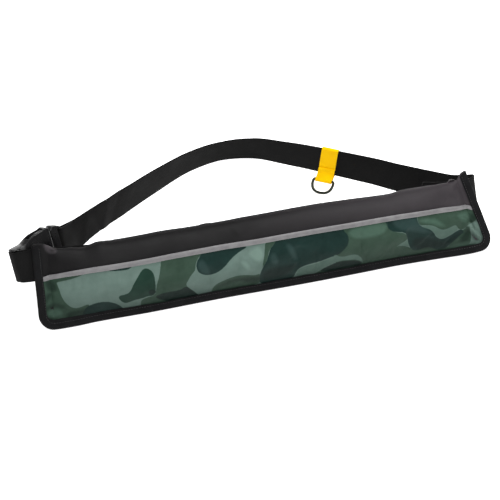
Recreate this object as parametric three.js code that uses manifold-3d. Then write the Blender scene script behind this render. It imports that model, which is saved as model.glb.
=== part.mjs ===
// Inflatable belt pack: a stuffed pouch on a waist belt with a side-release buckle.
// Millimetres, +Z up. X runs along the pouch, its front faces -Y, and it stands on its bottom edge.

import * as THREE from 'three';
import { mergeVertices } from 'three/addons/utils/BufferGeometryUtils.js';
import Module from 'manifold-3d';

// Driving dimensions

const CLOTH = { wall: 1.2, gap: 0.3 };

const POUCH = {
  length: 560,
  height: 91,
  frontBulge: 23,
  backBulge: 6,
  topFoldRadius: 3,
  topFoldTightness: 8.5,
  cornerRadius: 15,
  fullness: 7,
  lean: THREE.MathUtils.degToRad(30),
};

// The swell of the pouch's section: how steeply it starts from the bottom edge, and its greatest value.
const SWELL = { start: 0.8, peak: 0.42 };

// Height of the top fold along the pouch: its two ears rise at the ends.
const TOP_LINE = [
  { u: -280, height: 107 },
  { u: -266, height: 105 },
  { u: -251, height: 96 },
  { u: -215, height: 94.4 },
  { u: -136, height: 92.7 },
  { u: -76, height: 91.5 },
  { u: 60, height: 91.3 },
  { u: 110, height: 90 },
  { u: 172, height: 89 },
  { u: 224, height: 87 },
  { u: 248, height: 87 },
  { u: 258, height: 90 },
  { u: 268, height: 95 },
  { u: 280, height: 97 },
];

// Seam between flap and front panel, as a share of the height: it drops towards the ends.
const SEAM_LINE = [
  { u: -280, share: 0.54 },
  { u: -266, share: 0.574 },
  { u: -250, share: 0.66 },
  { u: -227, share: 0.695 },
  { u: -204, share: 0.712 },
  { u: -145, share: 0.724 },
  { u: -85, share: 0.735 },
  { u: 38, share: 0.724 },
  { u: 100, share: 0.722 },
  { u: 162, share: 0.716 },
  { u: 217, share: 0.697 },
  { u: 243, share: 0.668 },
  { u: 263, share: 0.575 },
  { u: 280, share: 0.44 },
];

// The ends are drawn in towards their tops, the right one also back, by the belt that turns there.
const ENDS = {
  left: { from: 220, drawnIn: 4, curledBack: 0 },
  right: { from: 190, drawnIn: 23.5, curledBack: 3.8 },
};

const BINDING = { width: 8, thick: 1.0, belowTop: 2 };

const PIPING = { halfShare: 0.041, thick: 1.2, crown: 0.6 };

const WEBBING = { width: 38, thick: 1.8 };

const BUCKLE = {
  width: 52,
  thick: 13,
  barSide: 3.2,
  socketLength: 41,
  plugBar: 69,
  opening: 40,
  wall: 3.1,
  slot: 8,
  plugSlot: 3.9,
  bevel: 1.2,
  round: 3,
  taper: 6,
};

// The plug's two prongs and its middle tongue: places along the buckle, and places in from its side.
const PRONG = { tip: 21, catch: 37, catchSlope: 1.5, in: 12, neck: 5, out: 1.2, nose: 8.5, root: 3 };
const TONGUE = { tip: 19, half: 4 };
const WINDOW = { from: 22, to: 37, deep: 7, over: 1 };
const POCKET_FROM = 15;

// The loop's tail lies forward of the belt: how far its eye stands off the belt's face and below its edge.
const LOOP = { width: 21.5, thick: 1.4, clear: 0.7, eyeForward: 8.2, eyeBelow: 5.2, eye: 1.9 };

const RING = { inside: 23.5, depth: 17, wire: 3, corner: 3.5, drop: THREE.MathUtils.degToRad(30) };

// Soft dents of the front: place on the pouch, half sizes along and across, depth, turn in degrees.
const DENTS = [
  { u: -232, v: 70, along: 46, across: 13, depth: 2.2, turn: 24 },
  { u: -205, v: 30, along: 40, across: 12, depth: 1.8, turn: -30 },
  { u: -128, v: 52, along: 34, across: 14, depth: 1.6, turn: 70 },
  { u: -65, v: 82, along: 22, across: 10, depth: 1.8, turn: -50 },
  { u: -32, v: 80, along: 20, across: 10, depth: 1.5, turn: 40 },
  { u: 40, v: 42, along: 42, across: 15, depth: 1.8, turn: 18 },
  { u: 118, v: 34, along: 40, across: 14, depth: 1.6, turn: -22 },
  { u: 196, v: 48, along: 42, across: 13, depth: 2.0, turn: 32 },
  { u: 240, v: 40, along: 36, across: 11, depth: 2.4, turn: -18 },
  { u: 236, v: 84, along: 34, across: 12, depth: 2.6, turn: 14 },
];

// Belt stations: centre of the webbing, how far its upper edge leans along X and Y for each unit of height,
// and the steps of the stretch that ends there.
const STRAP_ROUTE = [
  { x: 200, y: 45.6, z: 60, leanX: 0, leanY: 0.58, steps: 0 },
  { x: 232, y: 43.4, z: 54.6, leanX: 0, leanY: 0.58, steps: 3 },
  { x: 250, y: 43, z: 50.5, leanX: 0.03, leanY: 0.56, steps: 3 },
  { x: 262, y: 48.5, z: 49.5, leanX: 0.08, leanY: 0.52, steps: 3 },
  { x: 268.5, y: 57, z: 48, leanX: 0.12, leanY: 0.46, steps: 3 },
  { x: 266, y: 66.5, z: 39, leanX: 0.12, leanY: 0.4, steps: 3 },
  { x: 250, y: 77, z: 31.5, leanX: 0.1, leanY: 0.34, steps: 3 },
  { x: 222, y: 92.5, z: 31.5, leanX: 0.08, leanY: 0.28, steps: 3 },
  { x: 188.5, y: 110, z: 35.6, leanX: 0.07, leanY: 0.22, steps: 4 },
  { x: 156, y: 133.5, z: 37, leanX: 0.06, leanY: 0.16, steps: 4 },
  { x: 115.4, y: 161, z: 35.7, leanX: 0, leanY: 0.1, steps: 5 },
  { x: 69, y: 200.5, z: 26.2, leanX: -0.06, leanY: 0, steps: 5 },
  { x: 34, y: 225, z: 19.5, leanX: -0.06, leanY: -0.13, steps: 5 },
  { x: -4, y: 230, z: 19.3, leanX: 0.06, leanY: -0.2, steps: 5 },
  { x: -48, y: 216.8, z: 23.4, leanX: 0.1, leanY: -0.1, steps: 5 },
  { x: -97.5, y: 188, z: 30.5, leanX: 0.05, leanY: 0.03, steps: 5 },
  { x: -147, y: 153, z: 38, leanX: 0, leanY: 0.1, steps: 5 },
  { x: -194, y: 118.5, z: 46.5, leanX: -0.05, leanY: 0.17, steps: 5 },
];
const LOOP_STATION = 10;

// The strap's free tail lies along its outer side, back from the plug's bar.
const STRAP_TAIL = [
  { x: -216.5, y: 102.3, z: 50.4, leanX: -0.1, leanY: 0.26, steps: 4 },
  { x: -195.6, y: 120.6, z: 44.2, leanX: -0.05, leanY: 0.17, steps: 3 },
];

const TAB_ROUTE = [
  { x: -200, y: 45.4, z: 59.2, leanX: 0, leanY: 0.58, steps: 0 },
  { x: -240, y: 45, z: 62.8, leanX: 0, leanY: 0.58, steps: 3 },
  { x: -268, y: 42.8, z: 67, leanX: 0, leanY: 0.58, steps: 3 },
  { x: -286, y: 42.2, z: 68, leanX: -0.05, leanY: 0.57, steps: 2 },
];
const TAB_RETURN = [
  { x: -281, y: 45.8, z: 66.4, leanX: -0.05, leanY: 0.57, steps: 3 },
  { x: -266, y: 46, z: 65.4, leanX: 0, leanY: 0.58, steps: 2 },
];

// The buckle's own frame: the socket's bar, the run towards the plug, and the lean of its width.
const BUCKLE_PLACE = {
  bar: new THREE.Vector3(-297.7, 51.7, 63.3),
  run: new THREE.Vector3(0.89, 0.455, -0.11),
  across: new THREE.Vector3(-0.24, 0.45, 1),
};

const COLOURS = {
  camouflage: { color: 0x5f766b, roughness: 0.55, metalness: 0 },
  blackCloth: { color: 0x2c2b2e, roughness: 0.7, metalness: 0 },
  reflective: { color: 0x8d8d8f, roughness: 0.4, metalness: 0.2 },
  tape: { color: 0x222224, roughness: 0.8, metalness: 0 },
  webbing: { color: 0x1d1d1f, roughness: 0.75, metalness: 0 },
  plastic: { color: 0x161617, roughness: 0.35, metalness: 0 },
  yellow: { color: 0xf5c80a, roughness: 0.7, metalness: 0 },
  gunmetal: { color: 0x22261f, roughness: 0.35, metalness: 0.8 },
};

// Sizes that follow from the driving dimensions

const edgeInside = CLOTH.wall + CLOTH.gap * 1.5;
const edgeOutside = edgeInside + BINDING.thick;
const clothHalf = POUCH.length / 2 - edgeOutside;
const straightHalf = clothHalf - POUCH.cornerRadius;
const flange = BINDING.width + 1;
const flangeShare = flange / POUCH.height;
const flatHalf = CLOTH.wall / 2 + CLOTH.gap / 2;
const cutPast = 2;

// Small helpers

const wasm = await Module();
wasm.setup();

function closedGeometry(geometry) {
  const bare = geometry.clone();
  bare.deleteAttribute('normal');
  bare.deleteAttribute('uv');
  const welded = mergeVertices(bare, 1e-3);
  const corners = Array.from(welded.index.array);
  const kept = [];
  for (let i = 0; i < corners.length; i += 3) {
    const triangle = corners.slice(i, i + 3);
    if (new Set(triangle).size === 3) {
      kept.push(...triangle);
    }
  }
  welded.setIndex(kept);
  welded.clearGroups();
  return welded;
}

function turnedOutward(geometry) {
  const place = geometry.attributes.position;
  const index = geometry.index;
  const corner = [0, 1, 2].map(() => new THREE.Vector3());
  let volume = 0;
  for (let i = 0; i < index.count; i += 3) {
    corner.forEach((point, k) => point.fromBufferAttribute(place, index.getX(i + k)));
    volume += corner[0].dot(corner[1].clone().cross(corner[2]));
  }
  if (volume < 0) {
    for (let i = 0; i < index.count; i += 3) {
      const second = index.getX(i + 1);
      index.setX(i + 1, index.getX(i + 2));
      index.setX(i + 2, second);
    }
  }
  geometry.computeVertexNormals();
  return geometry;
}

// A box of lengthSteps by widthSteps by one, each of whose corners goes where place(along, across, side) says.
function bentSheet(lengthSteps, widthSteps, place) {
  const geometry = closedGeometry(new THREE.BoxGeometry(1, 1, 1, lengthSteps, widthSteps, 1));
  const corners = geometry.attributes.position;
  for (let i = 0; i < corners.count; i += 1) {
    const along = Math.round((corners.getX(i) + 0.5) * lengthSteps);
    const across = Math.round((corners.getY(i) + 0.5) * widthSteps);
    const point = place(along, across, corners.getZ(i) > 0 ? 1 : 0);
    corners.setXYZ(i, point.x, point.y, point.z);
  }
  return turnedOutward(geometry);
}

function toSolid(geometry) {
  const welded = turnedOutward(closedGeometry(geometry));
  return new wasm.Manifold(new wasm.Mesh({
    numProp: 3,
    vertProperties: new Float32Array(welded.attributes.position.array),
    triVerts: new Uint32Array(welded.index.array),
  }));
}

function fromSolid(solid) {
  const mesh = solid.getMesh();
  const geometry = new THREE.BufferGeometry();
  geometry.setAttribute('position', new THREE.BufferAttribute(new Float32Array(mesh.vertProperties), 3));
  geometry.setIndex(new THREE.BufferAttribute(new Uint32Array(mesh.triVerts), 1));
  geometry.computeVertexNormals();
  return geometry;
}

function block(low, high) {
  const size = high.map((value, axis) => value - low[axis]);
  const geometry = new THREE.BoxGeometry(...size);
  geometry.translate(...low.map((value, axis) => value + size[axis] / 2));
  return toSolid(geometry);
}

function piece(name, geometry, finish) {
  const mesh = new THREE.Mesh(geometry, new THREE.MeshStandardMaterial(finish));
  mesh.name = name;
  return mesh;
}

// The pouch

// Value of a column between the rows of a table along the pouch, with no kink at a row.
function alongPouch(rows, u, column) {
  const found = rows.findIndex((row) => row.u >= u);
  const next = found < 0 ? rows.length - 1 : Math.max(1, found);
  const share = THREE.MathUtils.smoothstep(u, rows[next - 1].u, rows[next].u);
  return THREE.MathUtils.lerp(rows[next - 1][column], rows[next][column], share);
}

// Place of a point of the pouch: u along it, v up its height, w behind its middle plane.
function pouchToPart(u, v, w) {
  const end = u < 0 ? ENDS.left : ENDS.right;
  const pull = THREE.MathUtils.smoothstep(Math.abs(u), end.from, POUCH.length / 2) * v / POUCH.height;
  const depth = w + end.curledBack * pull;
  return new THREE.Vector3(
    u - Math.sign(u) * end.drawnIn * pull,
    v * Math.sin(POUCH.lean) + depth * Math.cos(POUCH.lean),
    v * Math.cos(POUCH.lean) - depth * Math.sin(POUCH.lean) + edgeOutside,
  );
}

function dentDepth(u, v) {
  return DENTS.reduce((sum, dent) => {
    const angle = THREE.MathUtils.degToRad(dent.turn);
    const du = u - dent.u;
    const dv = v - dent.v;
    const along = (du * Math.cos(angle) + dv * Math.sin(angle)) / dent.along;
    const across = (dv * Math.cos(angle) - du * Math.sin(angle)) / dent.across;
    return sum + dent.depth * Math.exp(-along * along - across * across);
  }, 0);
}

// Middle of the pouch's wall. turn runs from 0 at the front's bottom edge over the top fold at 1 to 2
// at the back's bottom edge.
function wallMiddle(u, turn) {
  const climb = turn <= 1 ? turn : 2 - turn;
  const share = 2 * climb - climb * climb;
  const past = Math.max(0, Math.abs(u) - straightHalf);
  const bottom = POUCH.cornerRadius - Math.sqrt(Math.max(0, POUCH.cornerRadius ** 2 - past ** 2));
  const full = Math.max(0, 1 - (Math.abs(u) / straightHalf) ** POUCH.fullness);
  const height = alongPouch(TOP_LINE, u, 'height');
  const v = bottom + (height - bottom) * share;
  const rise = Math.max(0, (share - flangeShare) / (1 - flangeShare));
  const swell = rise ** SWELL.start * Math.sqrt(Math.max(0, 1 - rise)) / SWELL.peak;
  const foldRadius = flatHalf + (POUCH.topFoldRadius - flatHalf) * Math.min(1, 4 * full);
  const opened = THREE.MathUtils.lerp(flatHalf, foldRadius, Math.min(1, 2 * rise));
  const closing = Math.tanh(POUCH.topFoldTightness * (1 - climb));
  if (turn <= 1) {
    const dent = dentDepth(u, v) * Math.min(1, 3 * full) * Math.min(1, 4 * rise);
    return new THREE.Vector3(u, v, -opened * closing - POUCH.frontBulge * full * swell + dent);
  }
  return new THREE.Vector3(u, v, opened * closing + POUCH.backBulge * full * swell);
}

// A point that stands off the middle of the wall, outward.
function offWall(u, turn, lift) {
  const step = 0.004;
  const here = wallMiddle(u, turn);
  const round = wallMiddle(u, Math.min(2, turn + step)).sub(wallMiddle(u, Math.max(0, turn - step)));
  const along = wallMiddle(u + 0.5, turn).sub(wallMiddle(u - 0.5, turn));
  const flatAlong = new THREE.Vector3(along.x, 0, along.z);
  const outward = round.clone().cross(flatAlong).normalize();
  const point = here.addScaledVector(outward, lift);
  return pouchToPart(point.x, point.y, point.z);
}

// Columns of the pouch: even along the straight bottom, and by angle round the two lower corners.
const CORNER_STEPS = 4;
function columnPlace(step, steps) {
  const fromEnd = Math.min(step, steps - step);
  if (fromEnd < CORNER_STEPS) {
    const angle = (1 - fromEnd / CORNER_STEPS) * Math.PI / 2;
    return Math.sign(step - steps / 2) * (straightHalf + POUCH.cornerRadius * Math.sin(angle));
  }
  const share = (step - CORNER_STEPS) / (steps - 2 * CORNER_STEPS);
  return straightHalf * (2 * share - 1);
}

const turnOfShare = (share) => 1 - Math.sqrt(1 - share);
const POUCH_COLUMNS = 48;
const seamHalf = 0.01;
const seamTurn = (u, past) => turnOfShare(alongPouch(SEAM_LINE, u, 'share') + past);
const edgeTurn = 0.004;
const flangeTurn = turnOfShare(flangeShare);

function frontPanel() {
  const rows = 9;
  return bentSheet(POUCH_COLUMNS, rows, (column, row, side) => {
    const u = columnPlace(column, POUCH_COLUMNS);
    const top = seamTurn(u, -seamHalf);
    const turn = row === 0 ? edgeTurn : THREE.MathUtils.lerp(flangeTurn, top, (row - 1) / (rows - 1));
    return offWall(u, turn, CLOTH.wall * (side - 0.5));
  });
}

function blackShell() {
  const flapRows = 6;
  const backRows = 9;
  return bentSheet(POUCH_COLUMNS, flapRows + backRows, (column, row, side) => {
    const u = columnPlace(column, POUCH_COLUMNS);
    let turn = 2 - edgeTurn;
    if (row <= flapRows) {
      turn = THREE.MathUtils.lerp(seamTurn(u, seamHalf), 1, row / flapRows);
    } else if (row < flapRows + backRows) {
      turn = THREE.MathUtils.lerp(1, 2 - flangeTurn, (row - flapRows) / (backRows - 1));
    }
    return offWall(u, turn, CLOTH.wall * (side - 0.5));
  });
}

function reflectivePiping() {
  const rows = 2;
  const columns = POUCH_COLUMNS - 2 * CORNER_STEPS;
  return bentSheet(columns, rows, (column, row, side) => {
    const u = columnPlace(column + CORNER_STEPS, POUCH_COLUMNS);
    const turn = seamTurn(u, PIPING.halfShare * (2 * row / rows - 1));
    const crown = row === 1 ? PIPING.crown : 0;
    const lift = CLOTH.wall / 2 + 2 * CLOTH.gap + side * (PIPING.thick + crown);
    return offWall(u, turn, lift);
  });
}

// The bound edge: down the left end, round the bottom, up the right end, with its inward direction.
function boundEdge(step, endSteps, bottomSteps) {
  const fromLeft = step - endSteps;
  if (fromLeft < 0 || fromLeft > bottomSteps) {
    const climb = fromLeft < 0 ? -fromLeft : fromLeft - bottomSteps;
    const side = fromLeft < 0 ? -1 : 1;
    const top = alongPouch(TOP_LINE, side * clothHalf, 'height') - BINDING.belowTop;
    const v = THREE.MathUtils.lerp(POUCH.cornerRadius, top, climb / endSteps);
    return { u: side * clothHalf, v, inU: -side, inV: 0 };
  }
  const u = columnPlace(fromLeft, bottomSteps);
  const past = Math.max(0, Math.abs(u) - straightHalf);
  const angle = Math.asin(Math.min(1, past / POUCH.cornerRadius));
  const v = POUCH.cornerRadius * (1 - Math.cos(angle));
  return { u, v, inU: -Math.sign(u) * Math.sin(angle), inV: Math.cos(angle) };
}

function edgeBinding() {
  const endSteps = 8;
  const legSteps = 1;
  const foldSteps = 4;
  const rows = 2 * legSteps + foldSteps;
  const total = 2 * endSteps + POUCH_COLUMNS;
  return bentSheet(total, rows, (step, row, side) => {
    const edge = boundEdge(step, endSteps, POUCH_COLUMNS);
    const radius = edgeInside + side * BINDING.thick;
    const folded = THREE.MathUtils.clamp((row - legSteps) / foldSteps, 0, 1);
    const angle = Math.PI * (folded - 0.5);
    const leg = row < legSteps || row > legSteps + foldSteps ? BINDING.width : 0;
    const inward = leg - radius * Math.cos(angle);
    return pouchToPart(edge.u + edge.inU * inward, edge.v + edge.inV * inward, radius * Math.sin(angle));
  });
}

// Webbing

// Frames along a route: the centre, the run, the direction across the width and the face's normal.
function routeFrames(route) {
  const centres = new THREE.CatmullRomCurve3(route.map((row) => new THREE.Vector3(row.x, row.y, row.z)));
  const frames = [];
  route.forEach((row, index) => {
    for (let step = index === 0 ? 0 : 1; step <= row.steps; step += 1) {
      const share = index === 0 ? 0 : step / row.steps;
      const before = route[Math.max(0, index - 1)];
      const place = (Math.max(0, index - 1) + share) / (route.length - 1);
      const run = centres.getTangent(place);
      const lean = new THREE.Vector3(
        THREE.MathUtils.lerp(before.leanX, row.leanX, share),
        THREE.MathUtils.lerp(before.leanY, row.leanY, share),
        1,
      );
      const across = lean.addScaledVector(run, -lean.dot(run)).normalize();
      frames.push({ centre: centres.getPoint(place), run, across, face: run.clone().cross(across) });
    }
  });
  return frames;
}

function webbing(frames) {
  const rows = 2;
  return bentSheet(frames.length - 1, rows, (step, row, side) => {
    const frame = frames[step];
    return frame.centre.clone()
      .addScaledVector(frame.across, WEBBING.width * (row / rows - 0.5))
      .addScaledVector(frame.face, WEBBING.thick * (side - 0.5));
  });
}

// The buckle's frame
const buckleRun = BUCKLE_PLACE.run.clone().normalize();
const buckleAcross = BUCKLE_PLACE.across.clone()
  .addScaledVector(buckleRun, -BUCKLE_PLACE.across.dot(buckleRun))
  .normalize();
const buckleFace = buckleRun.clone().cross(buckleAcross);
const buckleMatrix = new THREE.Matrix4()
  .makeBasis(buckleRun, buckleAcross, buckleFace)
  .setPosition(BUCKLE_PLACE.bar);
const buckleToPart = (x, y, z) => new THREE.Vector3(x, y, z).applyMatrix4(buckleMatrix);

// A station of the webbing beside the buckle: its place along the buckle and how far it stands off its middle.
function buckleStation(along, offset, steps) {
  const centre = buckleToPart(along, 0, offset);
  return {
    x: centre.x,
    y: centre.y,
    z: centre.z,
    leanX: buckleAcross.x / buckleAcross.z,
    leanY: buckleAcross.y / buckleAcross.z,
    steps,
  };
}

// Stations of the webbing's fold round a bar of the buckle, between two angles about the bar in degrees.
const foldRadius = BUCKLE.barSide * Math.SQRT1_2 + CLOTH.gap + WEBBING.thick / 2;
function barFold(along, from, to) {
  const steps = 6;
  return Array.from({ length: steps + 1 }, (_, index) => {
    const angle = THREE.MathUtils.degToRad(THREE.MathUtils.lerp(from, to, index / steps));
    const stretch = index === 0 ? 4 : 1;
    return buckleStation(along + foldRadius * Math.cos(angle), foldRadius * Math.sin(angle), stretch);
  });
}

function strapFrames() {
  return routeFrames([
    ...STRAP_ROUTE,
    ...barFold(BUCKLE.plugBar, 90, 270),
    ...STRAP_TAIL,
  ]);
}

function tabFrames() {
  const standOff = 8;
  return routeFrames([
    ...TAB_ROUTE,
    buckleStation(-foldRadius * 0.8, standOff, 3),
    ...barFold(0, 180, 360),
    buckleStation(foldRadius, standOff, 3),
    ...TAB_RETURN,
  ]);
}

// The buckle

// A plate with rounded corners between two places along the buckle, wider at its far end.
function plate(from, to, nearWidth, farWidth, thick) {
  const { bevel, round } = BUCKLE;
  const near = nearWidth / 2 - bevel;
  const far = farWidth / 2 - bevel;
  const start = from + bevel;
  const end = to - bevel;
  const outline = new THREE.Shape();
  outline.moveTo(start, -near + round);
  outline.quadraticCurveTo(start, -near, start + round, -near);
  outline.lineTo(end - round, -far);
  outline.quadraticCurveTo(end, -far, end, -far + round);
  outline.lineTo(end, far - round);
  outline.quadraticCurveTo(end, far, end - round, far);
  outline.lineTo(start + round, near);
  outline.quadraticCurveTo(start, near, start, near - round);
  outline.closePath();
  const geometry = new THREE.ExtrudeGeometry(outline, {
    depth: thick - 2 * bevel,
    bevelThickness: bevel,
    bevelSize: bevel,
    bevelSegments: 2,
    curveSegments: 4,
  });
  geometry.translate(0, 0, bevel - thick / 2);
  return toSolid(geometry);
}

// Opens a slot through a plate, and thins the bar beside it to the bar's own thickness on both broad sides.
function cutBar(solid, slot, thinned) {
  const half = BUCKLE.opening / 2;
  const halfBar = BUCKLE.barSide / 2;
  return solid
    .subtract(block([slot.from, -half, -BUCKLE.thick], [slot.to, half, BUCKLE.thick]))
    .subtract(block([thinned.from, -half, halfBar], [thinned.to, half, BUCKLE.thick]))
    .subtract(block([thinned.from, -half, -BUCKLE.thick], [thinned.to, half, -halfBar]));
}

function buckleSocket() {
  const half = BUCKLE.width / 2;
  const halfBar = BUCKLE.barSide / 2;
  const pocketHalf = BUCKLE.thick / 2 - BUCKLE.wall;
  const windowHalf = pocketHalf + WINDOW.over;
  const slotEnd = BUCKLE.slot - BUCKLE.bevel / 2;
  let body = plate(-halfBar, BUCKLE.socketLength, BUCKLE.width - BUCKLE.taper, BUCKLE.width, BUCKLE.thick);
  body = cutBar(body, { from: halfBar, to: slotEnd }, { from: -halfBar - cutPast, to: slotEnd });
  body = body.subtract(block(
    [POCKET_FROM, -half + BUCKLE.wall, -pocketHalf],
    [BUCKLE.socketLength + cutPast, half - BUCKLE.wall, pocketHalf],
  ));
  const windowFrom = [half - WINDOW.deep, -half - cutPast];
  const windowTo = [half + cutPast, -half + WINDOW.deep];
  for (const side of [0, 1]) {
    body = body.subtract(block(
      [WINDOW.from, windowFrom[side], -windowHalf],
      [WINDOW.to, windowTo[side], windowHalf],
    ));
  }
  return fromSolid(body).applyMatrix4(buckleMatrix);
}

function bucklePlug() {
  const half = BUCKLE.width / 2;
  const shoulder = BUCKLE.socketLength + CLOTH.gap;
  const root = shoulder + PRONG.root;
  const prongThick = BUCKLE.thick - 2 * BUCKLE.wall - 4 * CLOTH.gap;
  const barFrom = BUCKLE.plugBar - BUCKLE.barSide / 2;
  const barTo = barFrom + BUCKLE.barSide;
  const slotFrom = barFrom - BUCKLE.plugSlot;
  let body = plate(shoulder, barTo, BUCKLE.width, BUCKLE.width - BUCKLE.taper, BUCKLE.thick - 1);
  body = cutBar(body, { from: slotFrom, to: barFrom }, { from: slotFrom, to: barTo + cutPast });
  const prong = new THREE.Shape();
  prong.moveTo(root, half - PRONG.in);
  prong.lineTo(root, half - PRONG.neck);
  prong.lineTo(PRONG.catch, half - PRONG.neck);
  prong.lineTo(PRONG.catch - PRONG.catchSlope, half - PRONG.out);
  prong.quadraticCurveTo(PRONG.tip + PRONG.root * 2, half - PRONG.out, PRONG.tip, half - PRONG.nose);
  prong.lineTo(PRONG.tip, half - PRONG.in);
  prong.closePath();
  for (const turn of [0, Math.PI]) {
    const arm = new THREE.ExtrudeGeometry(prong, { depth: prongThick, bevelEnabled: false, curveSegments: 4 });
    arm.translate(0, 0, -prongThick / 2);
    arm.rotateX(turn);
    body = body.add(toSolid(arm));
  }
  body = body.add(block([TONGUE.tip, -TONGUE.half, -prongThick / 2], [root, TONGUE.half, prongThick / 2]));
  return fromSolid(body).applyMatrix4(buckleMatrix);
}

// The yellow loop and its ring

const strap = strapFrames();
const stationStep = STRAP_ROUTE.slice(0, LOOP_STATION + 1).reduce((sum, row) => sum + row.steps, 0);
const station = strap[stationStep];
const eyePlace = { off: LOOP.eyeForward, up: -WEBBING.width / 2 - LOOP.eyeBelow };
const inward = Math.sign(-station.face.y);
const eyeCentre = station.centre.clone()
  .addScaledVector(station.face, inward * eyePlace.off)
  .addScaledVector(station.across, eyePlace.up);

function yellowLoop() {
  const half = LOOP.width / 2;
  const slotHalf = WEBBING.thick / 2 + LOOP.clear;
  const slotTop = WEBBING.width / 2 + LOOP.clear;
  const ringHalf = slotHalf + LOOP.thick;
  const ringTop = slotTop + LOOP.thick;
  const root = { off: ringHalf - LOOP.thick, up: -ringTop + LOOP.thick };
  const reach = Math.hypot(eyePlace.off - root.off, eyePlace.up - root.up);
  const tail = new THREE.BoxGeometry(reach, 2 * LOOP.thick, LOOP.width);
  tail.translate(reach / 2, 0, 0);
  tail.rotateZ(Math.atan2(eyePlace.up - root.up, eyePlace.off - root.off));
  tail.translate(root.off, root.up, 0);
  const round = (radius, length) => {
    const geometry = new THREE.CylinderGeometry(radius, radius, length, 12);
    geometry.rotateX(Math.PI / 2);
    geometry.translate(eyePlace.off, eyePlace.up, 0);
    return toSolid(geometry);
  };
  const solid = block([-ringHalf, -ringTop, -half], [ringHalf, ringTop, half])
    .add(toSolid(tail))
    .add(round(LOOP.eye + LOOP.thick, LOOP.width))
    .subtract(block([-slotHalf, -slotTop, -half - cutPast], [slotHalf, slotTop, half + cutPast]))
    .subtract(round(LOOP.eye, LOOP.width + 2 * cutPast));
  const off = station.face.clone().multiplyScalar(inward);
  const matrix = new THREE.Matrix4()
    .makeBasis(off, station.across, off.clone().cross(station.across))
    .setPosition(station.centre);
  return fromSolid(solid).applyMatrix4(matrix);
}

// A ring of round wire on a D-shaped path: the straight bar through the eye, and the bow.
function dRing() {
  const barHalf = RING.inside / 2 - 1;
  const bowHalf = (RING.inside + RING.wire) / 2;
  const path = new THREE.Path();
  path.moveTo(-barHalf, 0);
  path.lineTo(barHalf, 0);
  path.quadraticCurveTo(bowHalf, 0, bowHalf, RING.corner);
  path.bezierCurveTo(bowHalf, RING.depth * 0.8, bowHalf * 0.55, RING.depth, 0, RING.depth);
  path.bezierCurveTo(-bowHalf * 0.55, RING.depth, -bowHalf, RING.depth * 0.8, -bowHalf, RING.corner);
  path.quadraticCurveTo(-bowHalf, 0, -barHalf, 0);
  const around = 8;
  const along = 44;
  const plainRadius = 10;
  const geometry = closedGeometry(new THREE.TorusGeometry(plainRadius, 1, around, along));
  const corners = geometry.attributes.position;
  const bar = station.run.clone();
  const level = station.face.clone().multiplyScalar(inward).setZ(0).normalize();
  const bow = level.multiplyScalar(Math.cos(RING.drop)).setZ(-Math.sin(RING.drop));
  bow.addScaledVector(bar, -bow.dot(bar)).normalize();
  const matrix = new THREE.Matrix4().makeBasis(bar, bow, bar.clone().cross(bow)).setPosition(eyeCentre);
  for (let i = 0; i < corners.count; i += 1) {
    const spot = new THREE.Vector3().fromBufferAttribute(corners, i);
    const turn = Math.atan2(spot.y, spot.x) / (2 * Math.PI);
    const share = (Math.round(turn * along) + along) % along / along;
    const middle = path.getPointAt(share);
    const tangent = path.getTangentAt(share);
    const outward = (Math.hypot(spot.x, spot.y) - plainRadius) * RING.wire / 2;
    const height = spot.z * RING.wire / 2;
    const placed = new THREE.Vector3(middle.x + tangent.y * outward, middle.y - tangent.x * outward, height);
    placed.applyMatrix4(matrix);
    corners.setXYZ(i, placed.x, placed.y, placed.z);
  }
  return turnedOutward(geometry);
}

// The assembly, stood with the middle of its box's underside on the origin

const beltPack = new THREE.Group();
beltPack.add(
  piece('front_panel', frontPanel(), COLOURS.camouflage),
  piece('black_shell', blackShell(), COLOURS.blackCloth),
  piece('reflective_piping', reflectivePiping(), COLOURS.reflective),
  piece('edge_binding', edgeBinding(), COLOURS.tape),
  piece('belt_strap', webbing(strap), COLOURS.webbing),
  piece('belt_tab', webbing(tabFrames()), COLOURS.webbing),
  piece('buckle_socket', buckleSocket(), COLOURS.plastic),
  piece('buckle_plug', bucklePlug(), COLOURS.plastic),
  piece('yellow_loop', yellowLoop(), COLOURS.yellow),
  piece('d_ring', dRing(), COLOURS.gunmetal),
);
const box = new THREE.Box3().setFromObject(beltPack);
const middle = box.getCenter(new THREE.Vector3());
beltPack.position.set(-middle.x, -middle.y, -box.min.z);
beltPack.updateMatrixWorld(true);

export default beltPack;
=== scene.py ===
# Inflatable belt pack: a stuffed pouch of camouflage and black cloth on a webbing waist belt.
# Shapes are worked out in millimetres from the middle of the pouch's bottom edge, then set in the frame.

import math

import bmesh
import bpy
import numpy as np
from mathutils import Matrix, Vector


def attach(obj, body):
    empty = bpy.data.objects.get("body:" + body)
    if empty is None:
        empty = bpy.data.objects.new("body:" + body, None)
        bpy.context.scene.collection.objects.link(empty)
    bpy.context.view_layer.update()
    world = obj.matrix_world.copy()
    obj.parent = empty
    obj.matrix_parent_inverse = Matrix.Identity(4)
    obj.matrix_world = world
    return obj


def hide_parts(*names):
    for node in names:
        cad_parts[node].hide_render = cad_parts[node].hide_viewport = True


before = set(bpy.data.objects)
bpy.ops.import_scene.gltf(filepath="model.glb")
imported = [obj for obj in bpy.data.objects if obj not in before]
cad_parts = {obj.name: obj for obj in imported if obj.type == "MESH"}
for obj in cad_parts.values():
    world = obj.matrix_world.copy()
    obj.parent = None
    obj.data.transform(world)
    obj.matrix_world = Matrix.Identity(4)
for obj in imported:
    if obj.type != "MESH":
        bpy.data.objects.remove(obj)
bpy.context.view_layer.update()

# Driving sizes, in millimetres

MM = 0.001
POUCH_ORIGIN = Vector((13.9, -116.028, 0.094))

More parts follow.
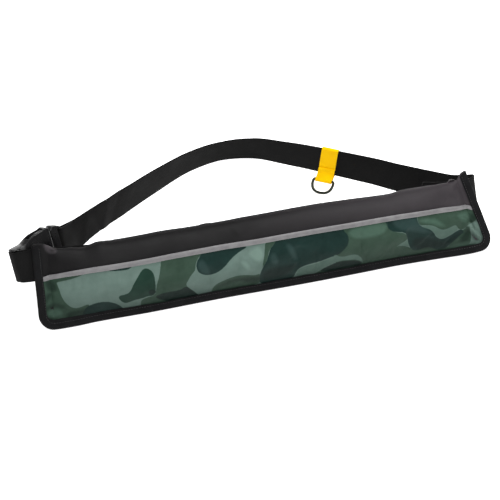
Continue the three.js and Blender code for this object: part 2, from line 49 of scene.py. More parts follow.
WALL = 1.2
GAP = 0.3
POUCH_LENGTH = 560.0
POUCH_HEIGHT = 91.0
FRONT_BULGE = 23.0
BACK_BULGE = 6.0
TOP_FOLD_RADIUS = 3.0
TOP_FOLD_TIGHTNESS = 8.5
CORNER_RADIUS = 15.0
FULLNESS = 7
LEAN = math.radians(30)
SWELL_START = 0.8
SWELL_PEAK = 0.42

# The ends are drawn in towards their tops, the right one also back: where that starts, and how far it goes
LEFT_FROM = 220.0
LEFT_DRAWN_IN = 4.0
RIGHT_FROM = 190.0
RIGHT_DRAWN_IN = 23.5
RIGHT_CURLED_BACK = 3.8

# The stuffing pushes the soft ends out by a little: where that starts, and how far it goes
PUSHED_FROM = 225.0
LEFT_PUSHED_OUT = 2.5
RIGHT_PUSHED_OUT = 2.0

# Height of the top fold along the pouch: place along it, height
TOP_LINE = [
    (-280, 104.2), (-266, 102.2), (-251, 94.5), (-232, 91.8), (-219, 89.8), (-209, 91.4), (-200, 93.2),
    (-184, 92.1), (-148, 92), (-124, 92.3), (-76, 90.8), (60, 91.1), (110, 89.2), (140, 87.6),
    (158, 87.1), (172, 88.6), (198, 88.2), (224, 87.2), (250, 86.2), (262, 86.4), (267, 90.5),
    (272, 95), (280, 97.8),
]

# How far the bottom edge lies forward of its straight line: place along the pouch, distance
BOTTOM_FORWARD = [
    (-280, -2.4), (-268, 0.6), (-240, 1.8), (-213, 0.8), (-151, 1.8), (-60, 1), (36, 2.1), (98, 1.9),
    (160, 1.2), (210, 2.6), (247, 4), (264, 2.6), (280, -1.8),
]
FORWARD_TO_HEIGHT = 40.0

# Seam between flap and front panel: place along the pouch, height
SEAM_LINE = [
    (-280, 59), (-266, 61.2), (-250, 63.5), (-227, 65), (-204, 66.1), (-145, 66.2), (-85, 66.7),
    (-23, 65.7), (38, 65.5), (100, 64.6), (162, 63.6), (190, 62.2), (217, 60.4), (243, 57.6), (252, 56),
    (260, 54.5), (266, 52.5), (270, 50.2), (274, 47), (280, 42),
]
SEAM_HALF = 0.005

BINDING_WIDTH = 8.0
BINDING_THICK = 1.0
BINDING_BELOW_TOP = 2.0

# How much wider the tape is round the lower left corner: place along it from the bottom's middle, width
BINDING_SPREAD = (
    [-345, -310, -290, -272, -255, -225, -190, -130],
    [0, -1.2, -1.5, 1.5, 3.0, 2.0, 0.8, 0],
)

# Waves of the tape's width: height, length for each radian, start
BINDING_WAVES = [
    (0.35, 17, 0),
    (0.25, 6.3, 1),
]
BINDING_PLUMP = 0.25

# The tape's right end is cut on a slant, higher at the fold: the slant, and its start along the tape
BINDING_CUT = 2.2
BINDING_CUT_FROM = 0.982

PIPING_HALF = 0.032
PIPING_END_HALF = 0.027
PIPING_THICK = 1.0
PIPING_CROWN = 0.9
PIPING_TUCK = 2.0

WEBBING_WIDTH = 38.0
WEBBING_THICK = 1.8

BUCKLE_BAR = 3.2
PLUG_BAR = 69.0
SOCKET_BAR = Vector((-297.7, 51.7, 63.3))
BUCKLE_RUN = Vector((0.89, 0.455, -0.11)).normalized()
BUCKLE_LEAN = Vector((-0.24, 0.45, 1.0))

LOOP_WIDTH = 21.5
LOOP_THICK = 1.4
LOOP_CLEAR = 0.7
LOOP_EYE = 1.9
EYE_FORWARD = 8.2
EYE_BELOW = 5.2

RING_INSIDE = 23.5
RING_DEPTH = 17.0
RING_WIRE = 3.4
RING_CORNER = 3.5
RING_DROP = math.radians(30)
RING_SLID = 2.8

# Turns of the wall: left out at its bottom edges, and sewn down past the binding and by the seam
EDGE_TURN = 0.004
SEWN_PAST_BINDING = 0.01
SEWN_BY_SEAM = 0.03

# Share of the black cloth's rows that lie on the flap
FLAP_ROWS = 0.45

# How fast the fold, the opening above the binding and the dents come in from the pouch's edges
FOLD_EASE = 4
OPENING_EASE = 2
DENT_EASE_ENDS = 3
DENT_EASE_FOOT = 4

# The cloth simulation: pressure, quality, stiffness, shrinking, steps, and the two cloths' furthest moves
STUFFING_PRESSURE = 4
CLOTH_QUALITY = 6
CLOTH_BENDING = 0.8
CLOTH_SHRINK = -0.012
CLOTH_STEPS = 20
PANEL_MOVE = 3.0
SHELL_MOVE = 2.0

# Where the cloth is held near its ends, and the widths over which the hold eases off
HELD_ENDS = 12.0
HELD_EASE = 3.0
HELD_TURN = 0.01

# A sheet's rounded rim, welds between corners, and the least length that is divided by
RIM_SEGMENTS = 2
RIM_ANGLE = math.radians(50)
WELD = 1e-6
TINY = 1e-9

EDGE_INSIDE = WALL + GAP * 1.5
EDGE_OUTSIDE = EDGE_INSIDE + BINDING_THICK
CLOTH_HALF = POUCH_LENGTH / 2 - EDGE_OUTSIDE
STRAIGHT_HALF = CLOTH_HALF - CORNER_RADIUS
FLANGE_SHARE = (BINDING_WIDTH + 1) / POUCH_HEIGHT
FLAT_HALF = (WALL + GAP) / 2

# Soft dents of the front: place on the pouch, half sizes along and across, depth, turn in degrees
DENTS = [
    (-232, 70, 46, 13, 2.2, 24),
    (-205, 30, 40, 12, 1.8, -30),
    (-128, 52, 34, 14, 1.6, 70),
    (-65, 82, 22, 10, 1.8, -50),
    (-32, 80, 20, 10, 1.5, 40),
    (40, 42, 42, 15, 1.8, 18),
    (118, 34, 40, 14, 1.6, -22),
    (196, 48, 42, 13, 2.0, 32),
    (240, 40, 36, 11, 2.4, -18),
    (236, 84, 34, 12, 2.6, 14),
]

# Creases of the cloth: one end, the other end, half width, depth; a negative depth is a ridge.
# Each fades towards its other end.
CREASE_FADE = 0.6
PANEL_CREASES = [
    ((266, 13), (253, 39), 2.0, -2.6),
    ((262, 11), (252, 30), 2.2, 2.4),
    ((266, 26), (263, 40), 1.8, -1.8),
    ((262, 34), (240, 50), 2.6, 1.6),
    ((256, 12), (236, 22), 2.6, -1.6),
    ((-266, 24), (-246, 30), 3.0, 1.2),
    ((-264, 14), (-248, 24), 2.6, -2.0),
    ((-264, 40), (-256, 32), 3.0, 1.0),
    ((-258, 12), (-226, 20), 3.2, 1.4),
    ((-30, 62), (-18, 34), 3.4, 0.9),
    ((-20, 64), (-6, 40), 3.0, -0.9),
    ((22, 62), (30, 40), 5.0, 0.9),
    ((-150, 20), (-110, 14), 4.0, 0.8),
]
FLAP_CREASES = [
    ((-74, 84), (-58, 70), 2.8, 2.4),
    ((-66, 86), (-50, 70), 2.6, -2.4),
    ((-40, 84), (-30, 72), 2.8, 2.4),
    ((-22, 86), (-14, 72), 3.4, 1.6),
    ((60, 88), (96, 82), 4.0, 0.8),
    ((206, 88), (246, 80), 4.0, 1.4),
    ((-266, 101), (-257, 91), 4.0, -5.4),
    ((-254, 93), (-250, 89), 2.8, 5.6),
    ((-248, 94), (-238, 84), 4.0, -1.6),
    ((265, 92), (262, 78), 3.0, -1.8),
    ((256, 86), (248, 78), 3.4, 1.6),
]
BACK_CREASES = [
    ((253, 83), (260, 86), 4.0, -6.0),
]

# Belt stations: the webbing's centre, and how far it leans along X and Y for each unit of height
STRAP_ROUTE = [
    (200, 45.6, 60, 0, 0.58),
    (232, 43.4, 54.6, 0, 0.58),
    (250, 43, 50.5, 0.03, 0.56),
    (263.5, 48.5, 48.5, 0.03, 0.52),
    (273, 57, 45, -0.03, 0.46),
    (269.5, 66.5, 38, -0.01, 0.4),
    (251, 77, 33, 0.08, 0.34),
    (222, 92.5, 34.3, 0.08, 0.28),
    (188.5, 110, 37.8, 0.07, 0.22),
    (156, 133.5, 37, 0.06, 0.16),
    (115.4, 161, 35.7, 0, 0.1),
    (69, 200.5, 26.2, -0.06, 0),
    (34, 225, 19.5, -0.06, -0.13),
    (-4, 230, 19.3, 0.06, -0.2),
    (-48, 216.8, 23.4, 0.1, -0.1),
    (-97.5, 188, 29, 0.05, 0.03),
    (-147, 153, 37.2, 0, 0.1),
    (-194, 118.5, 44.9, -0.05, 0.17),
    (-216, 101.4, 47, -0.1, 0.25),
]
LOOP_STATION = 10
STRAP_TAIL = [
    (-217.5, 103, 46.2, -0.1, 0.26),
    (-195.6, 120.6, 42, -0.05, 0.17),
]
TAB_ROUTE = [
    (-200, 43.9, 56.7, 0, 0.58),
    (-240, 44.4, 61.8, 0, 0.58),
    (-268, 42.8, 67, 0, 0.58),
    (-286, 42.2, 68, -0.05, 0.57),
]
TAB_RETURN = [
    (-281, 45.8, 66.4, -0.05, 0.57),
    (-266, 46, 65.4, 0, 0.58),
]

# The camera: where it stands round the object, its distance, and its picture's scale and place

AZIMUTH = math.radians(-14.6)
ELEVATION = math.radians(45)
CAMERA_DISTANCE = 3.0
PICTURE = 500
FOCAL_PIXELS = 2496.0
SENSOR = 36.0
CLIP_END = 50
ORIGIN_PIXEL = (271.3, 288.0)

VIEW_BACK = Vector((
    math.sin(AZIMUTH) * math.cos(ELEVATION),
    -math.cos(AZIMUTH) * math.cos(ELEVATION),
    math.sin(ELEVATION),
))
VIEW_RIGHT = Vector((math.cos(AZIMUTH), math.sin(AZIMUTH), 0))
VIEW_UP = VIEW_BACK.cross(VIEW_RIGHT)
METRES_A_PIXEL = CAMERA_DISTANCE / FOCAL_PIXELS
VIEW_TARGET = (
    POUCH_ORIGIN * MM
    + VIEW_RIGHT * (PICTURE / 2 - ORIGIN_PIXEL[0]) * METRES_A_PIXEL
    + VIEW_UP * (ORIGIN_PIXEL[1] - PICTURE / 2) * METRES_A_PIXEL
)
CAMERA_PLACE = VIEW_TARGET + VIEW_BACK * CAMERA_DISTANCE


def make_camera():
    """A long lens at the picture's viewing angle."""
    data = bpy.data.cameras.new("camera")
    data.sensor_width = SENSOR
    data.lens = FOCAL_PIXELS / PICTURE * SENSOR
    data.clip_end = CLIP_END
    camera = bpy.data.objects.new("camera", data)
    camera.location = CAMERA_PLACE
    camera.rotation_mode = "QUATERNION"
    camera.rotation_quaternion = (-VIEW_BACK).to_track_quat("-Z", "Y")
    bpy.context.scene.collection.objects.link(camera)
    bpy.context.scene.camera = camera


def picture_places(places):
    """Where points of the frame, one a row, lie in the camera's picture, in pixels from its top left."""
    seen = places - np.array(CAMERA_PLACE)
    away = seen @ -np.array(VIEW_BACK)
    across = seen @ np.array(VIEW_RIGHT)
    up = seen @ np.array(VIEW_UP)
    half = PICTURE / 2
    return np.column_stack((half + FOCAL_PIXELS * across / away, half - FOCAL_PIXELS * up / away))


# The camouflage: outlines of its patches as they lie in the camera's picture, in pixels

LEFT_STRIP = [
    (42, 281), (42, 272), (83, 272), (83, 274.8), (77, 277.2), (68, 280), (56.7, 282.2), (57, 283.5),
    (59.4, 289.3), (61.6, 296.4), (65.6, 302.7), (70.5, 306.7), (75, 308), (80.5, 307), (85, 305),
    (90, 303.5), (90, 320), (42, 323),
]
LOW_LEFT_PATCH = [
    (82, 321), (82.5, 313), (86, 307), (93, 303.5), (101.5, 301.5), (109.5, 301.5), (116.5, 303.5),
    (120.5, 305.5), (124, 308.5), (122.5, 313.5),
]
SEAM_PATCH = [
    (107.5, 269), (132.5, 264), (132.5, 266.5), (128, 269.5), (121.5, 270.5), (113.5, 271), (108, 271),
]
BOOT = [
    (143, 268.5), (147, 268), (151.5, 270.5), (154, 274.5), (155, 281), (155.5, 286), (155.5, 291),
    (153.5, 295.5), (148, 295.5), (142, 298), (137, 299), (131, 301), (126, 303), (121, 301),
    (118.5, 297.5), (119, 295.5), (124, 294.5), (128.5, 293), (131, 290), (133, 285), (136.5, 279),
    (139.5, 273.5),
]
BOOT_HEEL = [(148, 291), (151, 289), (155, 289.5), (156, 292), (153.5, 294.5), (149.5, 294.5)]
MOSS_BAND = [
    (160.5, 258.5), (160.5, 266.5), (159.5, 273.5), (158, 280), (156.5, 284), (156, 289), (155, 295),
    (144, 298), (141, 300), (140.5, 303.5), (142, 309.5), (196, 305.5), (199.5, 295.5), (195.5, 292),
    (190, 288.5), (185.5, 284.5), (188, 280.5), (191, 275), (195.5, 270), (195.5, 264), (197.5, 259),
    (200.5, 255), (202, 251.5),
]
BAND_HOLLOW = [
    (156, 295), (168, 291.5), (180, 290), (186, 285.5), (190, 288.5), (195.5, 292), (199.5, 295.5),
    (188, 298.5), (170, 301.5), (156, 298),
]
LEAF = [
    (202, 251.5), (246.5, 245.5), (246.5, 247.5), (241, 250.5), (235, 255), (230, 260), (226, 265),
    (221, 270), (214.5, 273.5), (207.5, 275), (201.5, 274), (197.5, 271), (196, 266), (197, 261),
    (199.5, 257),
]
LOW_ARC = [
    (210.5, 293.5), (212.5, 287.5), (216.5, 283.5), (223, 280.5), (231, 277), (239, 275),
    (247.5, 274.5), (255.5, 275), (260.5, 272.5), (261.5, 284.5),
]
NARROW_STRIP = [
    (265, 241.5), (275, 240.5), (275, 243), (272, 246.5), (269, 250.5), (268, 256), (266.5, 261),
    (264.5, 265), (262, 268.5), (263, 263), (264, 256), (264.5, 249.5),
]
BIG_TEAL = [
    (275, 238.5), (275, 243), (270, 248.5), (268.5, 255), (266.5, 261), (263.5, 266), (260.5, 272),
    (259.5, 276), (260, 285.5), (292, 279.5), (296.5, 270.5), (300.5, 267), (306.5, 264.5),
    (314.5, 262.5), (323, 260), (330, 257), (338.5, 254.5), (343.5, 250), (348, 245), (349, 238.5),
    (347, 233.5), (343.5, 231), (343.5, 226),
]
STREAK = [
    (295.5, 272), (300.5, 267.5), (308.5, 265), (318, 262.5), (327, 259), (333, 256.5), (335.5, 254),
    (339.5, 256.5), (346, 256), (351, 254.5), (356.5, 254), (360.5, 256.5), (362.5, 259.5),
    (363.5, 264), (360.5, 260.5), (355.5, 259), (349, 259.5), (342.5, 260), (336.5, 261.5), (333, 263),
    (325, 267), (318, 270.5), (307.5, 274), (297.5, 277),
]
STREAK_HOLLOW = [
    (318, 271), (327, 266), (336.5, 261.8), (346, 260.3), (356.5, 259.8), (361.5, 261.3), (362, 264),
    (351, 266), (338.5, 268.5), (327, 271),
]
MOSS_UNDER_STREAK = [(300, 282), (318, 271), (327, 266), (363, 262), (363, 270)]
MOSS_RIGHT = [
    (336, 224), (387, 215), (389, 230), (397.5, 232.5), (403.5, 232.5), (406.5, 234.5), (407.5, 237.5),
    (406.5, 240), (399, 244.5), (396, 247), (393, 252.5), (390, 266), (363, 272), (332, 264),
    (334, 245),
]
TRIANGLE = [
    (407.5, 237.5), (406, 241), (402.5, 242.5), (398, 244.5), (403.5, 245.5), (410, 246.5), (408, 243),
]
TEAL_RIGHT = [
    (384.5, 219), (416.5, 214), (417.5, 222.5), (420.5, 226), (424.5, 227.5), (430, 229), (434, 232.5),
    (436, 236.5), (439.5, 238.5), (443.5, 238.5), (449, 235.5), (454, 232.5), (459.5, 229), (463, 230),
    (463.5, 232.5), (460.5, 234.5), (456.5, 238), (451, 243), (447, 246.5), (442.5, 248.5),
    (439.5, 249.5), (435, 248.5), (430, 247), (424.5, 247), (420.5, 249), (414, 250.5), (411, 248.5),
    (409, 245), (407.5, 242), (407, 237.5), (406, 233.5), (402.5, 232), (396.5, 232), (391, 231),
    (387, 227),
]
ZIGZAG = [
    (420, 225.5), (424.5, 226), (430, 225), (435, 226.5), (439.5, 229), (443.5, 230), (449, 228),
    (454.5, 225), (456.5, 226), (458, 229), (454, 232.5), (449, 235.5), (443.5, 238.5), (439.5, 238.5),
    (436.5, 236.5), (434, 232.5), (430, 229), (424.5, 228),
]
MOSS_UPPER = [
    (416.5, 210), (477.5, 206), (477.5, 219.5), (469, 224), (463, 229.5), (458, 229), (456.5, 226),
    (454.5, 225), (449, 228), (443.5, 230), (439.5, 229), (435, 226.5), (430, 225), (420, 225.5),
    (417.5, 222.5),
]
MOSS_END = [
    (458, 232.5), (463, 230), (469, 224), (470.5, 231.5), (471, 237.5), (469.5, 244.5), (456.5, 245.5),
    (446.5, 247), (451, 243),
]
MOSS_LOW = [
    (384, 268), (390, 252), (398, 244.5), (409, 246.5), (414, 250), (420.5, 248), (425, 246),
    (431, 246.5), (439.5, 249), (448, 245.5), (470, 243.5), (488, 244), (470, 256), (414, 265),
]

# Soft painted shades, lights, sheens and highlights of the cloth's folds
LEFT_TOP_SHADE = [(44, 279), (56, 282), (58.5, 290), (55, 292), (50, 291.5), (46.5, 290)]
LEFT_FOLD_SHADE = [(45.5, 293), (53, 292.5), (50.5, 298), (47, 303), (45, 303)]
LEFT_ARC_SHADE = [
    (45.5, 307), (51, 303.5), (58, 302.5), (64, 305.5), (68, 309.5), (63, 308.5), (57, 306), (51, 308),
    (45.5, 312),
]
LOW_LEFT_SHADE = [(66, 312), (80, 309), (86, 308), (86, 319), (66, 321)]
TEAL_LOW_SHADE = [
    (411, 238), (424, 236), (434, 239), (446, 241), (458, 233), (462, 231), (458, 237), (446, 247),
    (432, 248), (414, 250),
]
MOSS_END_SHADE = [(464, 231), (468, 226), (470.5, 232), (470, 240), (463, 243), (458, 242)]
RIGHT_FOLD_SHADE = [(471.5, 230.5), (474, 233), (479, 240.5), (475, 241), (471.5, 238.5)]
RIGHT_TOP_SHADE = [(468.5, 213), (474, 213), (478, 222), (470, 222)]
UPPER_LIGHT = [(456, 214.5), (466, 211), (468.5, 213), (468.5, 221.5), (463.5, 222.5), (459, 218.5)]
MOSS_LIGHT = [
    (418.5, 219), (434, 217.5), (441, 222), (446, 226.5), (440, 227), (432, 223.5), (421, 223),
]
LEFT_CORNER_LIGHT = [
    (46.5, 313), (51, 309.5), (57, 307.5), (62, 310.5), (64, 317), (55, 318), (48, 317),
]
MOSS_RIGHT_LIGHT = [(346, 228), (386, 221), (388, 229), (380, 236), (352, 240)]
LEAF_SHEEN = [(197.5, 263), (202.5, 258.5), (208, 266), (211, 274), (203, 274.5), (198, 270)]
TEAL_RIGHT_SHEEN = [
    (389, 219.5), (415, 215.5), (418, 223), (428, 229), (433, 233), (424, 233.5), (412, 231),
    (398, 230),
]
RIGHT_HIGHLIGHT = [
    (467.5, 222.5), (471.5, 223), (475.5, 229), (481.5, 238), (480.5, 241), (474, 233), (470, 228.5),
]
RIGHT_EDGE_HIGHLIGHT = [(475.5, 221.5), (477.5, 222), (480, 230.5), (477.5, 231)]
LOW_RIGHT_LIGHT = [(446, 248), (456, 243.5), (470, 241), (481, 243), (478, 246), (462, 248), (446, 251)]
TEAL_LEFT_SHEEN = [(270, 254), (275, 251.5), (279.5, 262), (275, 265), (270, 262.5)]
TEAL_MIDDLE_SHEEN = [(285, 244), (291.5, 242.5), (297, 255), (298, 260.5), (293, 259.5), (288, 251)]
TEAL_MIDDLE_SHADE = [
    (262, 271), (274, 266.5), (287, 264.5), (297, 262.5), (293, 270), (285, 276), (262, 282),
]
LOW_ARC_SHADE = [
    (214, 288), (224, 281.5), (238, 277), (252, 276), (261, 274.5), (261, 281), (248, 283), (238, 280),
    (222, 286),
]
PALE_UPPER_HIGHLIGHT = [(247.5, 252.5), (255, 246.5), (263, 248.5), (263.5, 260), (257, 262), (251.5, 258)]
PALE_LOWER_HIGHLIGHT = [(240, 261.5), (245, 260), (250.5, 266), (249, 270.5), (243.5, 266.5)]

LEFT_EAR_LIGHT = [(42.5, 244), (49, 243.5), (56, 249.5), (57, 253), (50, 254), (45.5, 251)]
LEFT_EAR_SHADE = [(49, 249), (53, 248), (55.5, 251), (51.5, 253)]
FLAP_SHADE = [(227, 229.5), (233, 227), (240.5, 236), (237, 239)]
RIGHT_EAR_LIGHT = [(456.5, 176), (460, 174.5), (463.5, 186), (461, 187)]

# Soft painted light and shade marks of the black cloth
FLAP_LIGHT_AND_SHADE = {
    "light": [LEFT_EAR_LIGHT, RIGHT_EAR_LIGHT],
    "shade": [LEFT_EAR_SHADE, FLAP_SHADE],
}

# Layers of the print over the pale ground, in the order they are laid, then the painted shade and light of
# its folds
CAMOUFLAGE = {
    "moss": [
        LEFT_STRIP, MOSS_BAND, LOW_ARC, NARROW_STRIP, MOSS_UNDER_STREAK, MOSS_RIGHT, MOSS_UPPER, MOSS_END,
        MOSS_LOW,
    ],
    "teal": [LOW_LEFT_PATCH, SEAM_PATCH, LEAF, BIG_TEAL, TEAL_RIGHT],
    "fern": [BOOT],
    "pale": [STREAK, TRIANGLE, ZIGZAG],
    "deep": [BOOT_HEEL, BAND_HOLLOW, STREAK_HOLLOW],
    "bright": [PALE_UPPER_HIGHLIGHT, PALE_LOWER_HIGHLIGHT, RIGHT_HIGHLIGHT, RIGHT_EDGE_HIGHLIGHT],
    "sheen": [LEAF_SHEEN, TEAL_LEFT_SHEEN, TEAL_MIDDLE_SHEEN, TEAL_RIGHT_SHEEN],
    "light": [UPPER_LIGHT, MOSS_LIGHT, LEFT_CORNER_LIGHT, MOSS_RIGHT_LIGHT, LOW_RIGHT_LIGHT],
    "shade": [
        LEFT_TOP_SHADE, LEFT_FOLD_SHADE, LEFT_ARC_SHADE, LOW_LEFT_SHADE, TEAL_LOW_SHADE, MOSS_END_SHADE,
        RIGHT_FOLD_SHADE, RIGHT_TOP_SHADE, TEAL_MIDDLE_SHADE, LOW_ARC_SHADE,
    ],
}

# The furthest that a place is told to lie inside or outside an outline, in pixels
MARK_LIMIT = 6
CORNER_CUT = 0.25


def rounded_outline(outline):
    """An outline with its corners cut twice, so that it runs in curves."""
    points = np.array(outline, float)
    for _ in range(2):
        after = np.roll(points, -1, axis=0)
        near = points * (1 - CORNER_CUT) + after * CORNER_CUT
        far = points * CORNER_CUT + after * (1 - CORNER_CUT)
        points = np.column_stack((near, far)).reshape(-1, 2)
    return points


def depth_inside(places, outline):
    """How far each place lies inside an outline, in pixels: negative outside it."""
    points = rounded_outline(outline)
    nearest = np.full(len(places), np.inf)
    inside = np.zeros(len(places), bool)
    for start, end in zip(points, np.roll(points, -1, axis=0)):
        edge = end - start
        offset = places - start
        share = np.clip(offset @ edge / max(edge @ edge, TINY), 0, 1)
        nearest = np.minimum(nearest, np.linalg.norm(offset - share[:, None] * edge, axis=1))
        crosses = (start[1] > places[:, 1]) != (end[1] > places[:, 1])
        rise = edge[1] if abs(edge[1]) > TINY else TINY
        inside ^= crosses & (places[:, 0] < start[0] + (places[:, 1] - start[1]) / rise * edge[0])
    return np.where(inside, nearest, -nearest)


# Finishes

def linear(red, green, blue):
    """A screen colour, each part from 0 to 255, as the linear colour that a shader takes."""
    shares = [part / 255 for part in (red, green, blue)]
    parts = [share / 12.92 if share <= 0.04045 else ((share + 0.055) / 1.055) ** 2.4 for share in shares]
    return (*parts, 1.0)


class Wire:
    """One output of a finish's nodes. Arithmetic on wires and numbers adds the nodes for it."""

    def __init__(self, finish, socket):
        self.finish = finish
        self.socket = socket

    def calculated(self, operation, first, second=0.0):
        return self.finish.node("Math", {"operation": operation}, {0: first, 1: second})

    def __add__(self, other):
        return self.calculated("ADD", self, other)

    def __radd__(self, other):
        return self.calculated("ADD", other, self)

    def __sub__(self, other):
        return self.calculated("SUBTRACT", self, other)

    def __rsub__(self, other):
        return self.calculated("SUBTRACT", other, self)

    def __mul__(self, other):
        return self.calculated("MULTIPLY", self, other)

    def sine(self):
        return self.calculated("SINE", self)

    def absolute(self):
        return self.calculated("ABSOLUTE", self)

    def ribs(self, pitch):
        """Waves along this value from 0 to 1, a pitch apart."""
        return (self * (2 * math.pi / pitch)).sine() * 0.5 + 0.5

    def between(self, low, high):
        """This value's share of the way from low to high, held between 0 and 1."""
        sockets = {"Value": self, "From Min": low, "From Max": high}
        return self.finish.node("MapRange", {"clamp": True}, sockets)

    def output(self, key):
        return Wire(self.finish, self.socket.node.outputs[key])


class Finish:
    """A material: one method adds any node, and the rest put common groups of nodes together."""

    def __init__(self, name, **constants):
        self.material = bpy.data.materials.new(name)
        self.material.use_nodes = True
        self.tree = self.material.node_tree
        self.shader = self.tree.nodes["Principled BSDF"]
        for key, value in constants.items():
            self.shader.inputs[key.replace("_", " ")].default_value = value

    def feed(self, socket, value):
        if isinstance(value, Wire):
            self.tree.links.new(value.socket, socket)
        else:
            socket.default_value = value

    def node(self, kind, settings=None, sockets=None, output=0):
        made = self.tree.nodes.new("ShaderNode" + kind)
        for key, value in (settings or {}).items():
            setattr(made, key, value)
        for key, value in (sockets or {}).items():
            self.feed(made.inputs[key], value)
        return Wire(self, made.outputs[output])

    def mixed(self, share, first, second):
        return self.node("Mix", {"data_type": "RGBA"}, {0: share, 6: first, 7: second}, output=2)

    def cloth_place(self):
        """Place on the laid-out cloth, in millimetres: along it and across it."""
        parts = self.node("SeparateXYZ", sockets={0: self.node("UVMap", {"uv_map": "UVMap"})})
        return parts, parts.output("Y")

    def object_place(self):
        return self.node("TexCoord", output="Object")

    def depth_in(self, layer):
        """How deep a place lies in a layer of outlines that its piece keeps."""
        return self.node("Attribute", {"attribute_name": layer}, output="Fac")

    def noise(self, scale, detail=3.0, roughness=0.55):
        sockets = {"Vector": self.object_place(), "Scale": scale, "Detail": detail, "Roughness": roughness}
        return self.node("TexNoise", sockets=sockets)

    def bumped(self, height, distance, strength=1.0):
        sockets = {"Height": height, "Distance": distance, "Strength": strength}
        self.feed(self.shader.inputs["Normal"], self.node("Bump", sockets=sockets))

    def set(self, **wires):
        for key, value in wires.items():
            self.feed(self.shader.inputs[key.replace("_", " ")], value)
        return self.material


def darker(colour, share):
    """A share of a linear colour's light."""
    return (*(part * share for part in colour[:3]), 1.0)


# Spacing of the cloth's threads and of the reflective tape's beads, in millimetres
CLOTH_PITCH = 0.9
BEAD_PITCH = 1.1

# Over how many pixels the print's edges and the painted shade and light of its folds fade
PRINT_EDGE = 0.35
SOFT_EDGE = (-1.2, 2.2)
FLAP_EDGE = (-1.2, 1.8)


def plain_weave(finish, pitch):
    """Height of a plain weave, from 0 to 1, with threads a pitch apart."""
    along, across = finish.cloth_place()
    turns = 2 * math.pi / pitch
    return (along * turns).sine() * (across * turns).sine() * 0.5 + 0.5


def camouflage_cloth():
    """Coated cloth with a camouflage print, painted soft shade and light of its folds, and painted shade at
    the bottom edge.
    """
    finish = Finish("camouflage_cloth", Specular_IOR_Level=0.06)
    mottle = finish.noise(60, detail=4).between(0.3, 0.7)
    ground = (linear(84, 102, 95), linear(92, 110, 103))
    colour = finish.mixed(mottle, *ground)
    tones = {
        "moss": (linear(42, 60, 49), linear(51, 69, 58)),
        "teal": (linear(15, 34, 31), linear(22, 42, 39)),
        "fern": (linear(20, 42, 33), linear(27, 50, 41)),
        "pale": (linear(69, 88, 80), linear(77, 97, 88)),
        "deep": (linear(10, 25, 21), linear(15, 31, 27)),
    }
    for layer, (low, high) in tones.items():
        ragged = finish.depth_in("camouflage_" + layer) + (finish.noise(420, detail=2) - 0.5) * 0.5
        tone = finish.mixed(mottle, low, high)
        colour = finish.mixed(ragged.between(-PRINT_EDGE, PRINT_EDGE), colour, tone)
    # Painted light and shade: lights, shades, sheens and highlights of the folds mixed into the colour
    painted_fold_tones = {
        "light": (linear(72, 97, 84), 0.5),
        "shade": (linear(4, 14, 12), 0.55),
        "sheen": (linear(44, 62, 60), 0.6),
        "bright": (linear(110, 132, 122), 0.6),
    }
    for layer, (tone, weight) in painted_fold_tones.items():
        soft = finish.depth_in("camouflage_" + layer).between(*SOFT_EDGE)
        colour = finish.mixed(soft * weight, colour, tone)
    _, up = finish.cloth_place()
    # Painted shade: the cloth's colour darkens towards the bottom edge
    bottom_shade = 1 - up.between(6, 48)
    colour = finish.mixed(bottom_shade * 0.55, colour, linear(12, 18, 15))
    threads = plain_weave(finish, CLOTH_PITCH)
    colour = finish.mixed(threads * 0.12, colour, linear(20, 30, 27))
    finish.bumped(threads * 0.6 + finish.noise(90) * 0.8, distance=0.0002, strength=0.5)
    return finish.set(Base_Color=colour, Roughness=0.44 + finish.noise(35) * 0.16)


def black_cloth():
    """Matt black coated cloth with a fine weave and faint dust, and a painted sheen lighter towards its
    right end.
    """
    finish = Finish("black_cloth", Specular_IOR_Level=0.13)
    dust = finish.noise(45, detail=5).between(0.35, 0.75)
    threads = plain_weave(finish, CLOTH_PITCH)
    along, _ = finish.cloth_place()
    colour = finish.mixed(dust, linear(10, 9, 10), linear(15, 14, 15))
    # Painted sheen: the colour grows lighter towards the cloth's right end
    painted_sheen = finish.mixed(dust, linear(50, 46, 49), linear(58, 54, 57))
    colour = finish.mixed(along.between(240, 560), colour, painted_sheen)
    # Painted light and shade of the flap's folds, mixed into the colour
    for layer, tone in (("light", linear(66, 62, 65)), ("shade", linear(3, 3, 3))):
        colour = finish.mixed(finish.depth_in("flap_" + layer).between(*FLAP_EDGE) * 0.7, colour, tone)
    colour = finish.mixed(threads * 0.2, colour, linear(10, 10, 11))
    finish.bumped(threads * 0.6 + finish.noise(80) * 0.9, distance=0.0002, strength=0.5)
    return finish.set(Base_Color=colour, Roughness=0.5 + dust * 0.14)


def reflective_strip():
    """Grey reflective tape: a faint cross-hatch of beads under a satin face."""
    finish = Finish("reflective_strip", Specular_IOR_Level=0.3)
    along, across = finish.cloth_place()
    turns = 2 * math.pi / BEAD_PITCH
    hatch = ((along + across) * turns).sine() * ((along - across) * turns).sine() * 0.5 + 0.5
    wear = finish.noise(120, detail=4).between(0.35, 0.7)
    colour = finish.mixed(wear, linear(98, 97, 98), linear(113, 112, 113))
    colour = finish.mixed(hatch * 0.18, colour, linear(78, 78, 80))
    finish.bumped(hatch, distance=0.0001, strength=0.5)
    return finish.set(Base_Color=colour, Roughness=0.36 + wear * 0.16)


def ribbed_tape(name, dark, light, rib, roughness):
    """Woven tape with ribs across it and fine cords along it."""
    finish = Finish(name, Specular_IOR_Level=0.05)
    along, across = finish.cloth_place()
    ribs = along.ribs(rib)
    fine = across.ribs(rib * 0.55)
    fade = finish.noise(70, detail=4).between(0.3, 0.75)
    colour = finish.mixed(fade, dark, light)
    colour = finish.mixed((1 - ribs) * 0.25, colour, darker(dark, 0.45))
    fuzz = finish.noise(300, detail=2)
    finish.bumped(ribs * 0.8 + fine * 0.3 + fuzz * 0.3, distance=0.00025, strength=0.6)
    return finish.set(Base_Color=colour, Roughness=roughness + fade * 0.12)


